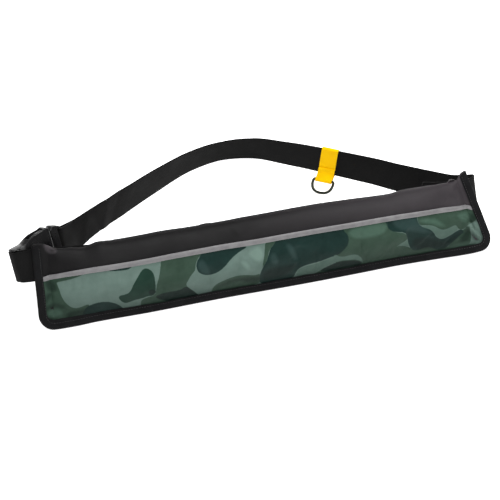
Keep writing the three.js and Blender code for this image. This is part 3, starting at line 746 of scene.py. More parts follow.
def belt_webbing(name, dark, light, edge):
    """Heavy webbing: slanting twill that turns back along its middle, with a plain selvedge.

    It has painted shade along the strap's far bend, and again near the plug.
    """
    finish = Finish(name, Specular_IOR_Level=0.05)
    along, across = finish.cloth_place()
    middle = (across - WEBBING_WIDTH / 2).absolute()
    twill = (along + middle).ribs(2.2)
    cords = across.ribs(1.5)
    selvedge = middle.between(WEBBING_WIDTH / 2 - 2.2, WEBBING_WIDTH / 2 - 1.6)
    # Painted shade on the strap's far bend and near the plug, in the selvedge's darker colour
    far_bend_shade = along.between(120, 330) * (1 - along.between(440, 560))
    plug_shade = along.between(620, 650)
    fade = finish.noise(40, detail=5).between(0.3, 0.75)
    colour = finish.mixed(fade, dark, light)
    colour = finish.mixed(far_bend_shade * 0.9, colour, edge)
    colour = finish.mixed(plug_shade * 0.6, colour, edge)
    colour = finish.mixed((1 - twill) * 0.4, colour, darker(dark, 0.5))
    colour = finish.mixed(selvedge * 0.6, colour, edge)
    fuzz = finish.noise(350, detail=2)
    finish.bumped(twill * 0.7 + cords * 0.5 + fuzz * 0.3, distance=0.0003, strength=0.6)
    return finish.set(Base_Color=colour, Roughness=0.6 + fade * 0.16)


def buckle_plastic():
    """Moulded black plastic: a fine sparked grain, a little rubbed."""
    finish = Finish("buckle_plastic", Specular_IOR_Level=0.5)
    rubbed = finish.noise(55, detail=4).between(0.45, 0.75)
    colour = finish.mixed(rubbed, linear(6, 6, 7), linear(12, 12, 13))
    grain = finish.noise(1500, detail=2) * 0.7 + finish.noise(160, detail=2) * 0.4
    finish.bumped(grain, distance=0.00008, strength=0.6)
    return finish.set(Base_Color=colour, Roughness=0.24 + rubbed * 0.12)


def ring_metal():
    """Dark gunmetal with fine scratches."""
    finish = Finish("ring_metal", Metallic=0.85)
    scuffs = finish.noise(700, detail=5, roughness=0.7).between(0.45, 0.7)
    colour = finish.mixed(scuffs, linear(30, 34, 29), linear(58, 63, 56))
    finish.bumped(scuffs, distance=0.00004, strength=0.5)
    return finish.set(Base_Color=colour, Roughness=0.3 + scuffs * 0.2)


def sewing_thread(name, colour):
    """Twisted thread: slanting plies."""
    finish = Finish(name, Specular_IOR_Level=0.4)
    place = finish.node("SeparateXYZ", sockets={0: finish.object_place()})
    plies = (place + place.output("Z")).ribs(0.0006)
    shaded = finish.mixed(plies * 0.5, colour, darker(colour, 0.6))
    finish.bumped(plies, distance=0.0001, strength=0.5)
    return finish.set(Base_Color=shaded, Roughness=0.5 + plies * 0.1)


def studio_floor():
    """A white floor that glows a little, so that it shows no shadow."""
    white = (1, 1, 1, 1)
    finish = Finish("studio_floor", Specular_IOR_Level=0.1, Emission_Color=white, Emission_Strength=0.65)
    grain = finish.noise(3, detail=2)
    colour = finish.mixed(grain, (0.93, 0.93, 0.93, 1), (0.96, 0.96, 0.96, 1))
    return finish.set(Base_Color=colour, Roughness=0.8 + grain * 0.1)


# Shared helpers for meshes

def in_frame(points):
    """Points in millimetres from the pouch's bottom middle, one a row, as metres in the frame."""
    return (np.asarray(points, float) + np.array(POUCH_ORIGIN)) * MM


def new_piece(name, mesh_source, material):
    """An object at the origin from a bmesh, smooth, with one material."""
    mesh = bpy.data.meshes.new(name)
    mesh_source.to_mesh(mesh)
    mesh_source.free()
    for face in mesh.polygons:
        face.use_smooth = True
    mesh.materials.append(material)
    piece = bpy.data.objects.new(name, mesh)
    bpy.context.scene.collection.objects.link(piece)
    return piece


def flat_sheet(columns, rows):
    """A flat sheet of columns by rows faces, and each corner's share of the way along it and across it."""
    sheet = bmesh.new()
    bmesh.ops.create_grid(sheet, x_segments=columns, y_segments=rows, size=0.5)
    sheet.verts.index_update()
    shares = np.array([(corner.co.x + 0.5, corner.co.y + 0.5) for corner in sheet.verts])
    return sheet, shares[:, 0], shares[:, 1]


def shaped_sheet(sheet, places, along, across):
    """Moves a sheet's corners to their places in the frame, and lays its cloth out in millimetres."""
    layer = sheet.loops.layers.uv.new("UVMap")
    for corner, place in zip(sheet.verts, places):
        corner.co = place
    for face in sheet.faces:
        for loop in face.loops:
            index = loop.vert.index
            loop[layer].uv = (along[index], across[index])
    return sheet


def thickened(piece, thick, rim=0.3):
    """Gives a sheet its thickness on both sides of its middle, and rounds its rim."""
    wall = piece.modifiers.new("thickness", "SOLIDIFY")
    wall.thickness = thick * MM
    wall.offset = 0
    edge = piece.modifiers.new("rim", "BEVEL")
    edge.width = rim * MM
    edge.segments = RIM_SEGMENTS
    edge.limit_method = "ANGLE"
    edge.angle_limit = RIM_ANGLE
    edge.harden_normals = True
    return piece


def rides(piece, body, slot, *nodes):
    """Puts a piece on its body, in place of the solids it stands for; the slot is not used."""
    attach(piece, body)
    if nodes:
        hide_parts(*nodes)
    return piece


# The pouch

def smooth_share(value, low, high):
    """Share of the way from low to high, eased at both ends."""
    share = np.clip((value - low) / (high - low), 0, 1)
    return share * share * (3 - 2 * share)


def along_pouch(rows, u):
    """Value between the rows of a table along the pouch, on a curve with no kink or flat at a row."""
    places, values = np.array(rows, float).T
    earlier = np.maximum(np.arange(len(rows)) - 1, 0)
    later = np.minimum(np.arange(len(rows)) + 1, len(rows) - 1)
    slopes = (values[later] - values[earlier]) / (places[later] - places[earlier])
    after = np.clip(np.searchsorted(places, u), 1, len(rows) - 1)
    before = after - 1
    span = places[after] - places[before]
    share = np.clip((u - places[before]) / span, 0, 1)
    leave = slopes[before] * span * share * (1 - share) ** 2
    meet = slopes[after] * span * share ** 2 * (share - 1)
    return values[before] + (values[after] - values[before]) * smooth_share(share, 0, 1) + leave + meet


def pouch_to_part(u, v, w):
    """Place of points of the pouch: u along it, v up its height, w behind its middle plane."""
    left = smooth_share(-u, LEFT_FROM, POUCH_LENGTH / 2) * v / POUCH_HEIGHT
    right = smooth_share(u, RIGHT_FROM, POUCH_LENGTH / 2) * v / POUCH_HEIGHT
    depth = w + RIGHT_CURLED_BACK * right
    pushed = (
        RIGHT_PUSHED_OUT * smooth_share(u, PUSHED_FROM, POUCH_LENGTH / 2)
        - LEFT_PUSHED_OUT * smooth_share(-u, PUSHED_FROM, POUCH_LENGTH / 2)
    )
    forward = along_pouch(BOTTOM_FORWARD, u) * (1 - smooth_share(v, 0, FORWARD_TO_HEIGHT))
    return np.column_stack((
        u + LEFT_DRAWN_IN * left - RIGHT_DRAWN_IN * right + pushed,
        v * math.sin(LEAN) + depth * math.cos(LEAN) - forward,
        v * math.cos(LEAN) - depth * math.sin(LEAN) + EDGE_OUTSIDE,
    ))


def dent_depth(u, v):
    total = np.zeros_like(u)
    for middle_u, middle_v, half_along, half_across, depth, turn in DENTS:
        angle = math.radians(turn)
        along = ((u - middle_u) * math.cos(angle) + (v - middle_v) * math.sin(angle)) / half_along
        across = ((v - middle_v) * math.cos(angle) - (u - middle_u) * math.sin(angle)) / half_across
        total += depth * np.exp(-along ** 2 - across ** 2)
    return total


def bottom_edge(u):
    """Height of the bottom edge, which curves up round the two lower corners."""
    past = np.maximum(0, np.abs(u) - STRAIGHT_HALF)
    return CORNER_RADIUS - np.sqrt(np.maximum(0, CORNER_RADIUS ** 2 - past ** 2))


def wall_middle(u, turn):
    """Middle of the wall: turn is 0 at the front's bottom edge, 1 on the fold, 2 at the back's bottom."""
    climb = np.where(turn <= 1, turn, 2 - turn)
    share = 2 * climb - climb ** 2
    bottom = bottom_edge(u)
    full = np.maximum(0, 1 - (np.abs(u) / STRAIGHT_HALF) ** FULLNESS)
    height = along_pouch(TOP_LINE, u)
    v = bottom + (height - bottom) * share
    rise = np.maximum(0, (share - FLANGE_SHARE) / (1 - FLANGE_SHARE))
    swell = rise ** SWELL_START * np.sqrt(np.maximum(0, 1 - rise)) / SWELL_PEAK
    fold = FLAT_HALF + (TOP_FOLD_RADIUS - FLAT_HALF) * np.minimum(1, FOLD_EASE * full)
    opened = FLAT_HALF + (fold - FLAT_HALF) * np.minimum(1, OPENING_EASE * rise)
    closing = np.tanh(TOP_FOLD_TIGHTNESS * (1 - climb))
    dent = dent_depth(u, v) * np.minimum(1, DENT_EASE_ENDS * full) * np.minimum(1, DENT_EASE_FOOT * rise)
    front = -opened * closing - FRONT_BULGE * full * swell + dent
    back = opened * closing + BACK_BULGE * full * swell
    return u, v, np.where(turn <= 1, front, back)


def off_wall(u, turn, lift):
    """Points that stand off the middle of the wall, outward."""
    turn_step = 0.004
    side_step = 0.5
    spots = (
        (u, turn),
        (u, np.minimum(2, turn + turn_step)),
        (u, np.maximum(0, turn - turn_step)),
        (u + side_step, turn),
        (u - side_step, turn),
    )
    here, after, before, right, left = (np.column_stack(wall_middle(*spot)) for spot in spots)
    along = (right - left) * np.array((1, 0, 1))
    outward = np.cross(after - before, along)
    outward /= np.linalg.norm(outward, axis=1)[:, None]
    point = here + outward * np.reshape(lift, (-1, 1))
    return pouch_to_part(point[:, 0], point[:, 1], point[:, 2])


def turn_of_share(share):
    return 1 - np.sqrt(1 - share)


def seam_turn(u, past):
    """Turn of the wall at the seam, or past it by a share of the height."""
    bottom = bottom_edge(u)
    share = (along_pouch(SEAM_LINE, u) - bottom) / (along_pouch(TOP_LINE, u) - bottom)
    return turn_of_share(share + past)


def column_place(share):
    """Place along the pouch of a column: close together round the two lower corners."""
    ends = 0.06
    angle = np.clip((ends - np.minimum(share, 1 - share)) / ends, 0, 1) * math.pi / 2
    corner = np.sign(share - 0.5) * (STRAIGHT_HALF + CORNER_RADIUS * np.sin(angle))
    straight = STRAIGHT_HALF * (2 * np.clip((share - ends) / (1 - 2 * ends), 0, 1) - 1)
    return np.where(np.minimum(share, 1 - share) < ends, corner, straight)


def crease_push(u, v, creases):
    """How far a set of creases presses the cloth in at each place."""
    push = np.zeros_like(u)
    spot = np.column_stack((u, v))
    for start, end, half, depth in creases:
        first = np.array(start, float)
        run = np.array(end, float) - first
        share = np.clip((spot - first) @ run / (run @ run), 0, 1)
        away = np.linalg.norm(spot - first - share[:, None] * run, axis=1)
        push += depth * np.exp(-(away / half) ** 2) * (1 - CREASE_FADE * share)
    return push


def puffed(piece, sewn, cap):
    """Lets the stuffing push the cloth out in a short simulation, held where sewn, with capped moves."""
    group = piece.vertex_groups.new(name="sewn")
    for index, weight in enumerate(sewn):
        group.add([index], float(weight), "REPLACE")
    cloth = piece.modifiers.new("stuffing", "CLOTH")
    cloth.collision_settings.use_collision = False
    settings = cloth.settings
    settings.vertex_group_mass = group.name
    settings.use_pressure = True
    settings.uniform_pressure_force = STUFFING_PRESSURE
    settings.effector_weights.gravity = 0
    settings.quality = CLOTH_QUALITY
    settings.bending_stiffness = CLOTH_BENDING
    settings.shrink_min = CLOTH_SHRINK
    scene = bpy.context.scene
    for step in range(1, CLOTH_STEPS + 1):
        scene.frame_set(step)
    shaped = piece.evaluated_get(bpy.context.evaluated_depsgraph_get())
    count = len(piece.data.vertices) * 3
    before = np.empty(count)
    after = np.empty(count)
    piece.data.vertices.foreach_get("co", before)
    shaped.data.vertices.foreach_get("co", after)
    move = (after - before).reshape(-1, 3)
    length = np.linalg.norm(move, axis=1)
    move *= (np.minimum(length, cap * MM) / np.maximum(length, TINY))[:, None]
    piece.modifiers.remove(cloth)
    piece.vertex_groups.remove(group)
    scene.frame_set(1)
    piece.data.vertices.foreach_set("co", before + move.ravel())
    piece.data.update()


def pressed(piece, push):
    """Moves each corner of a piece inward, against its normal."""
    normals = [corner.normal.copy() for corner in piece.data.vertices]
    for corner, normal, depth in zip(piece.data.vertices, normals, push):
        corner.co -= normal * float(depth) * MM
    piece.data.update()


def sewn_edges(u, turn, low, high):
    """1 where the cloth is held: at its ends, and past the low and the high turn of the wall."""
    ends = np.clip((np.abs(u) - (CLOTH_HALF - HELD_ENDS)) / HELD_EASE, 0, 1)
    bottom = np.clip((low - turn) / HELD_TURN + 1, 0, 1)
    top = np.clip((turn - high) / HELD_TURN + 1, 0, 1)
    return np.clip(ends + bottom + top, 0, 1)


def marked(piece, prefix, layers, on_front=1.0):
    """Keeps how deep each corner of a piece lies in each layer of outlines, for its finish."""
    places = np.empty(len(piece.data.vertices) * 3)
    piece.data.vertices.foreach_get("co", places)
    seen = picture_places(places.reshape(-1, 3))
    for layer, outlines in layers.items():
        depth = np.max([depth_inside(seen, outline) for outline in outlines], axis=0)
        depth = (depth + MARK_LIMIT) * on_front - MARK_LIMIT
        attribute = piece.data.attributes.new(prefix + layer, "FLOAT", "POINT")
        attribute.data.foreach_set("value", np.clip(depth, -MARK_LIMIT, MARK_LIMIT))


def front_panel():
    """The camouflage cloth, from the bottom edge up to the seam."""
    columns, rows = 300, 44
    sheet, along, up = flat_sheet(columns, rows)
    u = column_place(along)
    top = seam_turn(u, -SEAM_HALF)
    turn = EDGE_TURN + (top - EDGE_TURN) * up
    _, v, _ = wall_middle(u, turn)
    shaped_sheet(sheet, in_frame(off_wall(u, turn, np.zeros_like(u))), u + CLOTH_HALF, v)
    piece = new_piece("front_panel_cloth", sheet, camouflage_cloth())
    flange = turn_of_share(FLANGE_SHARE)
    sewn = sewn_edges(u, turn, flange + SEWN_PAST_BINDING, top - SEWN_BY_SEAM)
    puffed(piece, sewn, PANEL_MOVE)
    pressed(piece, crease_push(u, v, PANEL_CREASES) * (1 - sewn))
    marked(piece, "camouflage_", CAMOUFLAGE)
    thickened(piece, WALL)
    return rides(piece, "belt_pack", "camouflage_cloth", "front_panel")


def black_shell():
    """The black cloth, from the seam over the top fold and down the back."""
    columns, rows = 300, 96
    sheet, along, up = flat_sheet(columns, rows)
    u = column_place(along)
    low = seam_turn(u, SEAM_HALF)
    on_flap = low + (1 - low) * np.clip(up / FLAP_ROWS, 0, 1)
    on_back = 1 + (1 - EDGE_TURN) * np.clip((up - FLAP_ROWS) / (1 - FLAP_ROWS), 0, 1)
    turn = np.where(up <= FLAP_ROWS, on_flap, on_back)
    _, v, _ = wall_middle(u, turn)
    laid = np.where(turn <= 1, v, 2 * along_pouch(TOP_LINE, u) - v)
    shaped_sheet(sheet, in_frame(off_wall(u, turn, np.zeros_like(u))), u + CLOTH_HALF, laid)
    piece = new_piece("black_shell_cloth", sheet, black_cloth())
    flange = turn_of_share(FLANGE_SHARE)
    held_flap = sewn_edges(u, -turn, -low - SEWN_BY_SEAM, 2)
    held_back = sewn_edges(u, turn, 0, 2 - flange - SEWN_PAST_BINDING)
    sewn = np.where(turn <= 1, held_flap, held_back)
    puffed(piece, sewn, SHELL_MOVE)
    on_front = np.where(turn <= 1, 1.0, 0.0)
    push = crease_push(u, v, FLAP_CREASES) * on_front + crease_push(u, v, BACK_CREASES) * (1 - on_front)
    pressed(piece, push * (1 - sewn))
    marked(piece, "flap_", FLAP_LIGHT_AND_SHADE, on_front)
    thickened(piece, WALL)
    return rides(piece, "belt_pack", "black_cloth", "black_shell")


def reflective_piping():
    """The crowned grey strip on the seam, tucked under the binding at both ends."""
    columns, rows = 280, 8
    sheet, along, up = flat_sheet(columns, rows)
    end = CLOTH_HALF - BINDING_WIDTH
    u = (2 * along - 1) * (end + PIPING_TUCK)
    half = PIPING_HALF + (PIPING_END_HALF - PIPING_HALF) * smooth_share(np.abs(u), PUSHED_FROM, CLOTH_HALF)
    turn = seam_turn(u, half * (2 * up - 1))
    crown = 1 - (2 * up - 1) ** 4
    tucked = smooth_share(np.abs(u), end - PIPING_TUCK, end + PIPING_TUCK / 2)
    raised = WALL / 2 + GAP + PIPING_THICK / 2 + PIPING_CROWN * crown
    lift = raised + (WALL / 2 - raised) * tucked
    places = in_frame(off_wall(u, turn, lift))
    shaped_sheet(sheet, places, u + CLOTH_HALF, up * 2 * PIPING_HALF * POUCH_HEIGHT)
    piece = thickened(new_piece("reflective_piping_strip", sheet, reflective_strip()), PIPING_THICK)
    return rides(piece, "belt_pack", "reflective_strip", "reflective_piping")


def bound_edge(share):
    """The bound edge down the left end, along the bottom and up the right end, with the way inward."""
    left, right = (
        along_pouch(TOP_LINE, np.array([side * CLOTH_HALF]))[0] - BINDING_BELOW_TOP - CORNER_RADIUS
        for side in (-1, 1)
    )
    arc = CORNER_RADIUS * math.pi / 2
    bottom = STRAIGHT_HALF + arc
    run = share * (left + 2 * bottom + right) - left - bottom
    sign = np.sign(run)
    away = np.abs(run)
    angle = np.clip((away - STRAIGHT_HALF) / CORNER_RADIUS, 0, math.pi / 2)
    climb = np.maximum(0, away - bottom)
    u = sign * (np.minimum(away, STRAIGHT_HALF) + CORNER_RADIUS * np.sin(angle))
    v = CORNER_RADIUS * (1 - np.cos(angle)) + climb
    return u, v, -sign * np.sin(angle), np.cos(angle), run


def edge_binding():
    """The tape folded round the bound edge: a leg in front, the fold, and a leg behind."""
    columns, rows = 420, 18
    sheet, along, up = flat_sheet(columns, rows)
    u, v, in_u, in_v, run = bound_edge(along)
    radius = EDGE_INSIDE + BINDING_THICK / 2
    leg_share = 0.36
    folded = np.clip((up - leg_share) / (1 - 2 * leg_share), 0, 1)
    angle = math.pi * (folded - 0.5)
    waves = sum(height * np.sin(run / length + start) for height, length, start in BINDING_WAVES)
    width = BINDING_WIDTH + waves + np.interp(run, *BINDING_SPREAD)
    leg = width * np.maximum(0, np.maximum(leg_share - up, up - 1 + leg_share)) / leg_share
    inward = leg - radius * np.cos(angle)
    plump = BINDING_PLUMP * np.sin(math.pi * np.clip(leg / BINDING_WIDTH, 0, 1))
    depth = (radius + plump) * np.sin(angle)
    cut = BINDING_CUT * (1 - 2 * leg / BINDING_WIDTH) * smooth_share(along, BINDING_CUT_FROM, 1)
    places = pouch_to_part(u + in_u * inward, v + in_v * inward + cut, depth)
    tape_width = 2 * BINDING_WIDTH + math.pi * radius
    shaped_sheet(sheet, in_frame(places), run, up * tape_width)
    tape = ribbed_tape("binding_tape", linear(16, 16, 17), linear(25, 25, 26), 1.1, 0.66)
    piece = thickened(new_piece("edge_binding_tape", sheet, tape), BINDING_THICK)
    return rides(piece, "belt_pack", "binding_tape", "edge_binding")


# Webbing

BUCKLE_ACROSS = (BUCKLE_LEAN - BUCKLE_RUN * BUCKLE_LEAN.dot(BUCKLE_RUN)).normalized()
BUCKLE_FACE = BUCKLE_RUN.cross(BUCKLE_ACROSS)


def buckle_station(along, offset):
    """A station of the webbing at the buckle: how far along it, and how far off its middle."""
    centre = SOCKET_BAR + BUCKLE_RUN * along + BUCKLE_FACE * offset
    return (*centre, BUCKLE_ACROSS.x / BUCKLE_ACROSS.z, BUCKLE_ACROSS.y / BUCKLE_ACROSS.z)


FOLD_RADIUS = BUCKLE_BAR * math.sqrt(0.5) + GAP + WEBBING_THICK / 2


def bar_fold(along, first, last):
    """Stations of the fold round a bar, between two angles about the bar in degrees."""
    steps = 6
    angles = [math.radians(first + (last - first) * step / steps) for step in range(steps + 1)]
    return [buckle_station(along + FOLD_RADIUS * math.cos(a), FOLD_RADIUS * math.sin(a)) for a in angles]


def curve_between(before, start, end, after, share):
    """Place and run on a smooth curve from start to end that heeds the points before and after."""
    least = 1e-4
    pairs = ((before, start), (start, end), (end, after))
    first, middle, last = (max((b - a).length ** 0.5, least) for a, b in pairs)
    leave = (start - before) / first - (end - before) / (first + middle) + (end - start) / middle
    meet = (end - start) / middle - (after - start) / (middle + last) + (after - end) / last
    leave *= middle
    meet *= middle
    square = -3 * start + 3 * end - 2 * leave - meet
    cube = 2 * start - 2 * end + leave + meet
    place = start + leave * share + square * share ** 2 + cube * share ** 3
    return place, (leave + square * (2 * share) + cube * (3 * share ** 2)).normalized()


class Station:
    """A place on a belt's route: its centre, its run, the way across its width and its face's normal."""

    def __init__(self, centre, run, lean, length):
        self.centre = centre
        self.run = run
        self.across = (lean - run * lean.dot(run)).normalized()
        self.face = run.cross(self.across)
        self.length = length


def belt_stations(route, spacing=2.0):
    """Stations along a belt's route, about a spacing apart."""
    points = [Vector(row[:3]) for row in route]
    leans = [Vector((row[3], row[4], 1)) for row in route]
    points = [2 * points[0] - points[1], *points, 2 * points[-1] - points[-2]]
    stations = []
    length = 0
    for index in range(len(route) - 1):
        before, start, end, after = points[index:index + 4]
        steps = max(1, round((end - start).length / spacing))
        for step in range(0 if index == 0 else 1, steps + 1):
            share = step / steps
            place, run = curve_between(before, start, end, after, share)
            if stations:
                length += (place - stations[-1].centre).length
            stations.append(Station(place, run, leans[index].lerp(leans[index + 1], share), length))
    return stations


# Soft waves of the belt's face: place along the strap, half length, height, slant across the width
STRAP_WAVES = [
    (598, 5, 0.5, 0.5),
    (616, 6, -0.8, 0.3),
    (634, 5, 0.7, -0.4),
    (652, 6, -0.5, 0.4),
    (575, 7, -0.3, 0.6),
    (210, 16, 0.6, 0.2),
    (330, 22, -0.6, 0.1),
]


def webbing_piece(name, stations, waves, material, node):
    rows = 10
    sheet, along, up = flat_sheet(len(stations) - 1, rows)
    steps = np.rint(along * (len(stations) - 1)).astype(int)
    places = []
    lengths = np.array([stations[step].length for step in steps])
    for step, share in zip(steps, up):
        station = stations[step]
        side = WEBBING_WIDTH * (share - 0.5)
        wave = sum(
            height * math.exp(-((station.length + slant * side - middle) / half) ** 2)
            for middle, half, height, slant in waves
        )
        places.append(station.centre + station.across * side + station.face * wave)
    shaped_sheet(sheet, in_frame(places), lengths, up * WEBBING_WIDTH)
    piece = thickened(new_piece(name, sheet, material), WEBBING_THICK, 0.5)
    return rides(piece, "belt_pack", "belt_webbing", node)


# How far off the buckle's middle the tab passes just before and after its fold
TAB_OFF = 8
TAB_NEAR = FOLD_RADIUS * 0.8

STRAP = belt_stations([*STRAP_ROUTE, *bar_fold(PLUG_BAR, 90, 270), *STRAP_TAIL])
TAB = belt_stations([
    *TAB_ROUTE,
    buckle_station(-TAB_NEAR, TAB_OFF),
    *bar_fold(0, 180, 360),
    buckle_station(FOLD_RADIUS, TAB_OFF),
    *TAB_RETURN,
])


# The buckle

# Where the two halves of the moulded buckle meet: place along the plain solid, place along the moulding
SPLIT_PLACES = ([-5, 20, 41, 41.3, 63.5, 75], [-5, 20, 54, 54.3, 64.5, 75])

NECK_END = 14.0
SHOULDER_END = 24.0
NECK_SIDES = ([0, 18, 20, 26], [0, 18, 19.3, 21.6])

# How far the buckle's sides swell: place along it, swell; and where across it the swell comes in
SIDE_SWELL = (
    [23, 30, 37, 43, 49, 53, 55.5, 58, 64, 71],
    [0, 1.6, 1.8, 1.6, 2.8, 2.4, -2.2, 1.4, 2.0, -0.4],
)
SWELL_ACROSS = (12, 22)

# The moulding's rounded edges, which edges get one, which faces stay flat, and the slices its sides bend at
MOULDED_EDGE = 0.9
SHARP_ANGLE = math.radians(35)
FLAT_ANGLE = math.radians(1)
SMOOTH_ANGLE = math.radians(34)
SLICE = 2.0
SLICES_END = 70.0


def buckle_side(along, across):
    """Place across the moulded buckle of a point of its solid: a narrow neck, then full sides."""
    size = abs(across)
    neck = 1 - smooth_share(along, NECK_END, SHOULDER_END)
    narrowed = size + (np.interp(size, *NECK_SIDES) - size) * neck
    swollen = narrowed + np.interp(along, *SIDE_SWELL) * smooth_share(size, *SWELL_ACROSS)
    return math.copysign(swollen, across)


def moulded_copy(node, name, material):
    """A copy of one half of the buckle with rounded edges and full sides."""
    solid = bmesh.new()
    solid.from_mesh(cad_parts[node].data)
    bmesh.ops.remove_doubles(solid, verts=solid.verts, dist=WELD)
    bmesh.ops.dissolve_limit(solid, angle_limit=FLAT_ANGLE, verts=solid.verts, edges=solid.edges)
    sharp = [edge for edge in solid.edges if edge.is_manifold and edge.calc_face_angle(0) > SHARP_ANGLE]
    bmesh.ops.bevel(
        solid,
        geom=sharp,
        offset=MOULDED_EDGE * MM,
        segments=3,
        profile=0.5,
        affect="EDGES",
        clamp_overlap=True,
        material=-1,
    )
    bar = (SOCKET_BAR + POUCH_ORIGIN) * MM
    for along in np.arange(SLICE, SLICES_END, SLICE):
        geometry = [*solid.verts, *solid.edges, *solid.faces]
        place = bar + BUCKLE_RUN * along * MM
        bmesh.ops.bisect_plane(solid, geom=geometry, plane_co=place, plane_no=BUCKLE_RUN)
    for corner in solid.verts:
        offset = (corner.co - bar) / MM
        along = offset.dot(BUCKLE_RUN)
        across = offset.dot(BUCKLE_ACROSS)
        moulded_along = float(np.interp(along, *SPLIT_PLACES))
        moulded_across = buckle_side(moulded_along, across)
        corner.co += (BUCKLE_RUN * (moulded_along - along) + BUCKLE_ACROSS * (moulded_across - across)) * MM
    bmesh.ops.triangulate(solid, faces=solid.faces)
    piece = new_piece(name, solid, material)
    piece.data.set_sharp_from_angle(angle=SMOOTH_ANGLE)
    return piece


def buckle():
    plastic = buckle_plastic()
    for node in ("buckle_socket", "buckle_plug"):
        rides(moulded_copy(node, node + "_moulding", plastic), "belt_pack", "buckle_plastic", node)


# The yellow loop and its ring

LOOP_PLACE = min(STRAP, key=lambda station: (station.centre - Vector(STRAP_ROUTE[LOOP_STATION][:3])).length)
INWARD = LOOP_PLACE.face * (-1 if LOOP_PLACE.face.y > 0 else 1)
EYE_UP = -WEBBING_WIDTH / 2 - EYE_BELOW
EYE_CENTRE = LOOP_PLACE.centre + INWARD * EYE_FORWARD + LOOP_PLACE.across * EYE_UP
# The loop's slant along the belt for each unit of height, its shift, and where its overlap starts
LOOP_SLANT = 0.17
LOOP_SHIFT = -1.3
LOOP_OVERLAP = -8.3

# The loop's bends at the belt's edges: height, cut and drop; where it leaves the belt; steps round the bar
LOOP_BEND = 1.6
LOOP_BEND_CUT = 0.9
LOOP_BEND_DROP = 0.2
LOOP_LEAVES = 3.0
LOOP_STEPS = 8


def loop_path():
    """The tape's way in the loop's section, off the belt's face and up its width.

    It starts on the front, goes down round the ring's bar, up the belt's back, over its edge and down
    its front.
    """
    side = WEBBING_THICK / 2 + LOOP_CLEAR + LOOP_THICK / 2
    top = WEBBING_WIDTH / 2 + LOOP_CLEAR + LOOP_THICK / 2
    outer = side + LOOP_THICK + 0.1
    eye = Vector((EYE_FORWARD, EYE_UP))
    down = (eye - Vector((outer, -top + LOOP_LEAVES))).normalized()
    over = Vector((-down.y, down.x))
    wrap = LOOP_EYE + LOOP_THICK / 2
    bend = top - LOOP_BEND
    cut = side - LOOP_BEND_CUT
    ridge = top - LOOP_BEND_DROP
    front = [(outer, LOOP_OVERLAP), (outer, -top + 8), (outer + 0.2, -top + LOOP_LEAVES)]
    turned = []
    for step in range(LOOP_STEPS + 1):
        angle = math.pi * (0.5 - step / LOOP_STEPS)
        turned.append(eye + down * wrap * math.cos(angle) + over * wrap * math.sin(angle))
    under = [(0.4, -top - 0.4), (-cut, -top), (-side, -bend)]
    back = [(-side, 0), (-side, bend), (-cut, ridge)]
    down_front = [(cut, ridge), (side, bend), (side, 0), (side, -top + 6)]
    return [Vector(spot) for spot in (*front, *turned, *under, *back, *down_front)]


def yellow_loop():
    """The yellow tape along the loop's path, slanting across the belt."""
    path = loop_path()
    steps = [0.0]
    for first, second in zip(path, path[1:]):
        steps.append(steps[-1] + (second - first).length)
    sheet, along, up = flat_sheet(len(path) - 1, 12)
    index = np.rint(along * (len(path) - 1)).astype(int)
    places = []
    for step, share in zip(index, up):
        off, rise = path[step]
        side = LOOP_WIDTH * (share - 0.5) - LOOP_SLANT * rise + LOOP_SHIFT
        places.append(LOOP_PLACE.centre + INWARD * off + LOOP_PLACE.across * rise + LOOP_PLACE.run * side)
    shaped_sheet(sheet, in_frame(places), np.array(steps)[index], up * LOOP_WIDTH)
    tape = ribbed_tape("yellow_webbing", linear(238, 182, 0), linear(246, 198, 0), 1.3, 0.6)
    piece = new_piece("yellow_loop_tape", sheet, tape)
    smooth = piece.modifiers.new("soft bends", "SUBSURF")
    smooth.levels = 2
    smooth.render_levels = 2
    thickened(piece, LOOP_THICK - 0.2, 0.35)
    return rides(piece, "belt_pack", "yellow_webbing", "yellow_loop")


def curve_points(points, steps):
    """Points on a curve that leaves its first point for the second and meets the last from the third."""
    done = np.arange(steps) / steps
    left = 1 - done
    weights = np.array([left ** 3, 3 * done * left ** 2, 3 * done ** 2 * left, done ** 3])
    return weights.T @ np.array(points, float)


# The ring's shape: how far its sides run on, how round its bow is, and the steps of its parts
RING_SIDES = 0.8
RING_ROUND = 0.55
CORNER_STEPS = 8
BOW_STEPS = 24
BAR_STEPS = 12


def ring_path():
    """The D of the ring, along its bar and out from it: the bar, one side of the bow, then the other."""
    bar = RING_INSIDE / 2 - 1
    bow = (RING_INSIDE + RING_WIRE) / 2
    deep = RING_DEPTH
    corner = [(bar, 0), (bar + 2 * (bow - bar) / 3, 0), (bow, RING_CORNER / 3), (bow, RING_CORNER)]
    bend = [(bow, RING_CORNER), (bow, deep * RING_SIDES), (bow * RING_ROUND, deep), (0, deep)]
    half = np.vstack((curve_points(corner, CORNER_STEPS), curve_points(bend, BOW_STEPS), [(0, deep)]))
    straight = np.column_stack((np.linspace(-bar, bar, BAR_STEPS + 1)[1:-1], np.zeros(BAR_STEPS - 1)))
    return np.vstack((straight, half, half[-2::-1] * (-1, 1)))


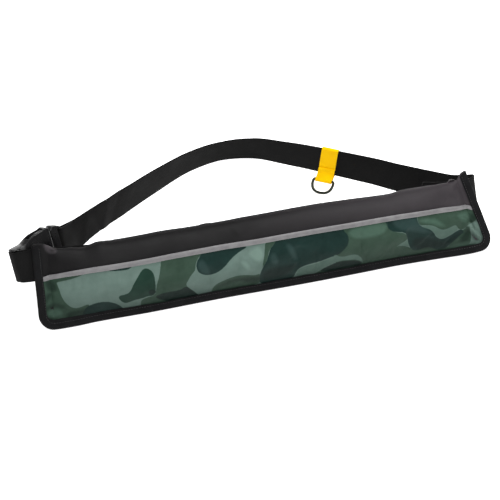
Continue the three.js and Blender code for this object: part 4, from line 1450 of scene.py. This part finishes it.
def d_ring():
    """Round wire along the D, closed on itself."""
    bar = np.array(LOOP_PLACE.run)
    level = Vector((INWARD.x, INWARD.y, 0)).normalized()
    drop = level * math.cos(RING_DROP) - Vector((0, 0, math.sin(RING_DROP)))
    bow = np.array((drop - LOOP_PLACE.run * drop.dot(LOOP_PLACE.run)).normalized())
    path = ring_path() + (RING_SLID, 0)
    sheet, along, around = flat_sheet(len(path), 16)
    index = np.rint(along * len(path)).astype(int) % len(path)
    runs = np.roll(path, -1, axis=0) - np.roll(path, 1, axis=0)
    runs /= np.linalg.norm(runs, axis=1)[:, None]
    outward = runs[index][:, ::-1] * (1, -1)
    angle = 2 * math.pi * around
    flat = path[index] + outward * (RING_WIRE / 2 * np.cos(angle))[:, None]
    lift = RING_WIRE / 2 * np.sin(angle)
    upward = np.cross(bar, bow)
    places = np.array(EYE_CENTRE) + flat[:, :1] * bar + flat[:, 1:] * bow + lift[:, None] * upward
    shaped_sheet(sheet, in_frame(places), along * len(path), around * math.pi * RING_WIRE)
    bmesh.ops.remove_doubles(sheet, verts=sheet.verts, dist=WELD)
    bmesh.ops.recalc_face_normals(sheet, faces=sheet.faces)
    return rides(new_piece("d_ring_wire", sheet, ring_metal()), "d_ring", "ring_metal", "d_ring")


# Stitches: half the thread's width and height, their pitch, and the share of it left free at each end
STITCH_HALF_WIDTH = 0.34
STITCH_HALF_HEIGHT = 0.3
STITCH_PITCH = 3.2
STITCH_FREE = 0.12

# The binding's seam: the share of the tape left free at its ends, its inset, its lift and its points
SEAM_FREE = 0.004
SEAM_INSET = 2.0
SEAM_LIFT = 0.32
SEAM_POINTS = 400

# The boxes sewn on the belt's ends: lengths, margins, lift, pitch and points a line
STRAP_BOX = 36
TAB_BOX = 40
BOX_MARGIN = 4
BOX_END_MARGIN = 3
BOX_LIFT = 0.12
BOX_PITCH = 3.0
BOX_POINTS = 30


def add_stitch(seam, start, end, outward):
    """Adds one stitch to a seam: a short round-ended bit of thread from start to end, in millimetres."""
    run = end - start
    across = outward.cross(run).normalized()
    turned = Matrix((run.normalized(), across, run.normalized().cross(across))).transposed().to_4x4()
    middle = Matrix.Translation((start + end) / 2)
    size = Matrix.Diagonal((run.length / 2, STITCH_HALF_WIDTH, STITCH_HALF_HEIGHT, 1))
    bmesh.ops.create_icosphere(seam, subdivisions=1, radius=1, matrix=middle @ turned @ size)


def seam_piece(name, seam, material, slot):
    """Sets a finished seam in the frame."""
    placed = Matrix.Scale(MM, 4) @ Matrix.Translation(POUCH_ORIGIN)
    bmesh.ops.transform(seam, matrix=placed, verts=seam.verts)
    return rides(new_piece(name, seam, material), "belt_pack", slot)


def stitched_line(seam, points, outward, pitch=STITCH_PITCH):
    """Stitches along a line of points, a pitch apart, each a little shorter than the pitch."""
    lengths = np.concatenate(([0], np.cumsum(np.linalg.norm(np.diff(points, axis=0), axis=1))))
    count = max(1, int(lengths[-1] / pitch))
    for index in range(count):
        ends = [(index + share) * lengths[-1] / count for share in (STITCH_FREE, 1 - STITCH_FREE)]
        spots = [Vector([np.interp(end, lengths, points[:, axis]) for axis in range(3)]) for end in ends]
        normal = Vector([np.interp(sum(ends) / 2, lengths, outward[:, axis]) for axis in range(3)])
        add_stitch(seam, spots[0], spots[1], normal)


def binding_stitches():
    seam = bmesh.new()
    share = np.linspace(SEAM_FREE, 1 - SEAM_FREE, SEAM_POINTS)
    u, v, in_u, in_v, _ = bound_edge(share)
    inward = BINDING_WIDTH - SEAM_INSET
    for side in (-1, 1):
        lift = side * (EDGE_OUTSIDE + SEAM_LIFT)
        points = pouch_to_part(u + in_u * inward, v + in_v * inward, np.full_like(u, lift))
        deeper = pouch_to_part(u + in_u * inward, v + in_v * inward, np.full_like(u, lift + side))
        stitched_line(seam, points, deeper - points)
    thread = sewing_thread("black_thread", linear(32, 32, 33))
    return seam_piece("binding_stitches", seam, thread, "binding_tape")


def sewn_box(seam, stations, start, length, side):
    """A box of stitches with a cross in it, on one face of a belt's end."""
    held = [station for station in stations if start <= station.length <= start + length]
    half = WEBBING_WIDTH / 2 - BOX_MARGIN

    def line(first, last):
        points = []
        normals = []
        for share in np.linspace(0, 1, BOX_POINTS):
            along = first[0] + (last[0] - first[0]) * share
            across = first[1] + (last[1] - first[1]) * share
            station = min(held, key=lambda one: abs(one.length - start - along))
            past = start + along - station.length
            points.append(
                station.centre + station.run * past + station.across * across
                + station.face * side * (WEBBING_THICK / 2 + BOX_LIFT)
            )
            normals.append(station.face * side)
        stitched_line(seam, np.array(points), np.array(normals), BOX_PITCH)

    end = length - BOX_END_MARGIN
    corners = [(BOX_MARGIN, -half), (end, -half), (end, half), (BOX_MARGIN, half)]
    for first, last in zip(corners, corners[1:] + corners[:1]):
        line(first, last)
    line(corners[0], corners[2])
    line(corners[1], corners[3])


def belt_stitches():
    seam = bmesh.new()
    for stations, length in ((STRAP, STRAP_BOX), (TAB, TAB_BOX)):
        sewn_box(seam, stations, 0, length, -1 if stations[0].face.y < 0 else 1)
    thread = sewing_thread("belt_thread", linear(18, 18, 18))
    return seam_piece("belt_stitches", seam, thread, "belt_webbing")


# Floor and light, in metres
FLOOR_HALF = 6
FLOOR_DROP = 0.0004

# Area lights: place, target, size, power
LIGHTS = {
    "front": ((-0.45, -1.7, 2.4), (0, 0, 0), 1.8, 58),
    "top": ((0.2, 0.35, 1.5), (0.05, 0, 0), 1.1, 20),
    "key": ((0.6, -0.1, 0.95), (0.2, -0.05, 0.05), 0.4, 5),
}
BACKDROP_STRENGTH = 0.25


def floor():
    ground = bmesh.new()
    bmesh.ops.create_grid(ground, x_segments=4, y_segments=4, size=FLOOR_HALF)
    bmesh.ops.translate(ground, vec=(0, 0, -FLOOR_DROP), verts=ground.verts)
    new_piece("studio_floor", ground, studio_floor())


def area_light(name, place, target, size, power):
    data = bpy.data.lights.new(name, "AREA")
    data.size = size
    data.energy = power
    lamp = bpy.data.objects.new(name, data)
    lamp.location = place
    lamp.rotation_mode = "QUATERNION"
    lamp.rotation_quaternion = (Vector(target) - Vector(place)).to_track_quat("-Z", "Y")
    bpy.context.scene.collection.objects.link(lamp)


def lighting():
    world = bpy.data.worlds.new("studio")
    world.use_nodes = True
    backdrop = world.node_tree.nodes["Background"]
    backdrop.inputs["Color"].default_value = (1, 1, 1, 1)
    backdrop.inputs["Strength"].default_value = BACKDROP_STRENGTH
    bpy.context.scene.world = world
    bpy.context.scene.view_settings.view_transform = "Standard"
    for name, (place, target, size, power) in LIGHTS.items():
        area_light(name, place, target, size, power)


make_camera()
lighting()
floor()
front_panel()
black_shell()
reflective_piping()
edge_binding()
WEBBING_FINISH = belt_webbing("belt_webbing", linear(15, 15, 15), linear(24, 24, 24), linear(13, 13, 13))
webbing_piece("belt_strap_webbing", STRAP, STRAP_WAVES, WEBBING_FINISH, "belt_strap")
webbing_piece("belt_tab_webbing", TAB, [], WEBBING_FINISH, "belt_tab")
buckle()
yellow_loop()
d_ring()
binding_stitches()
belt_stitches()
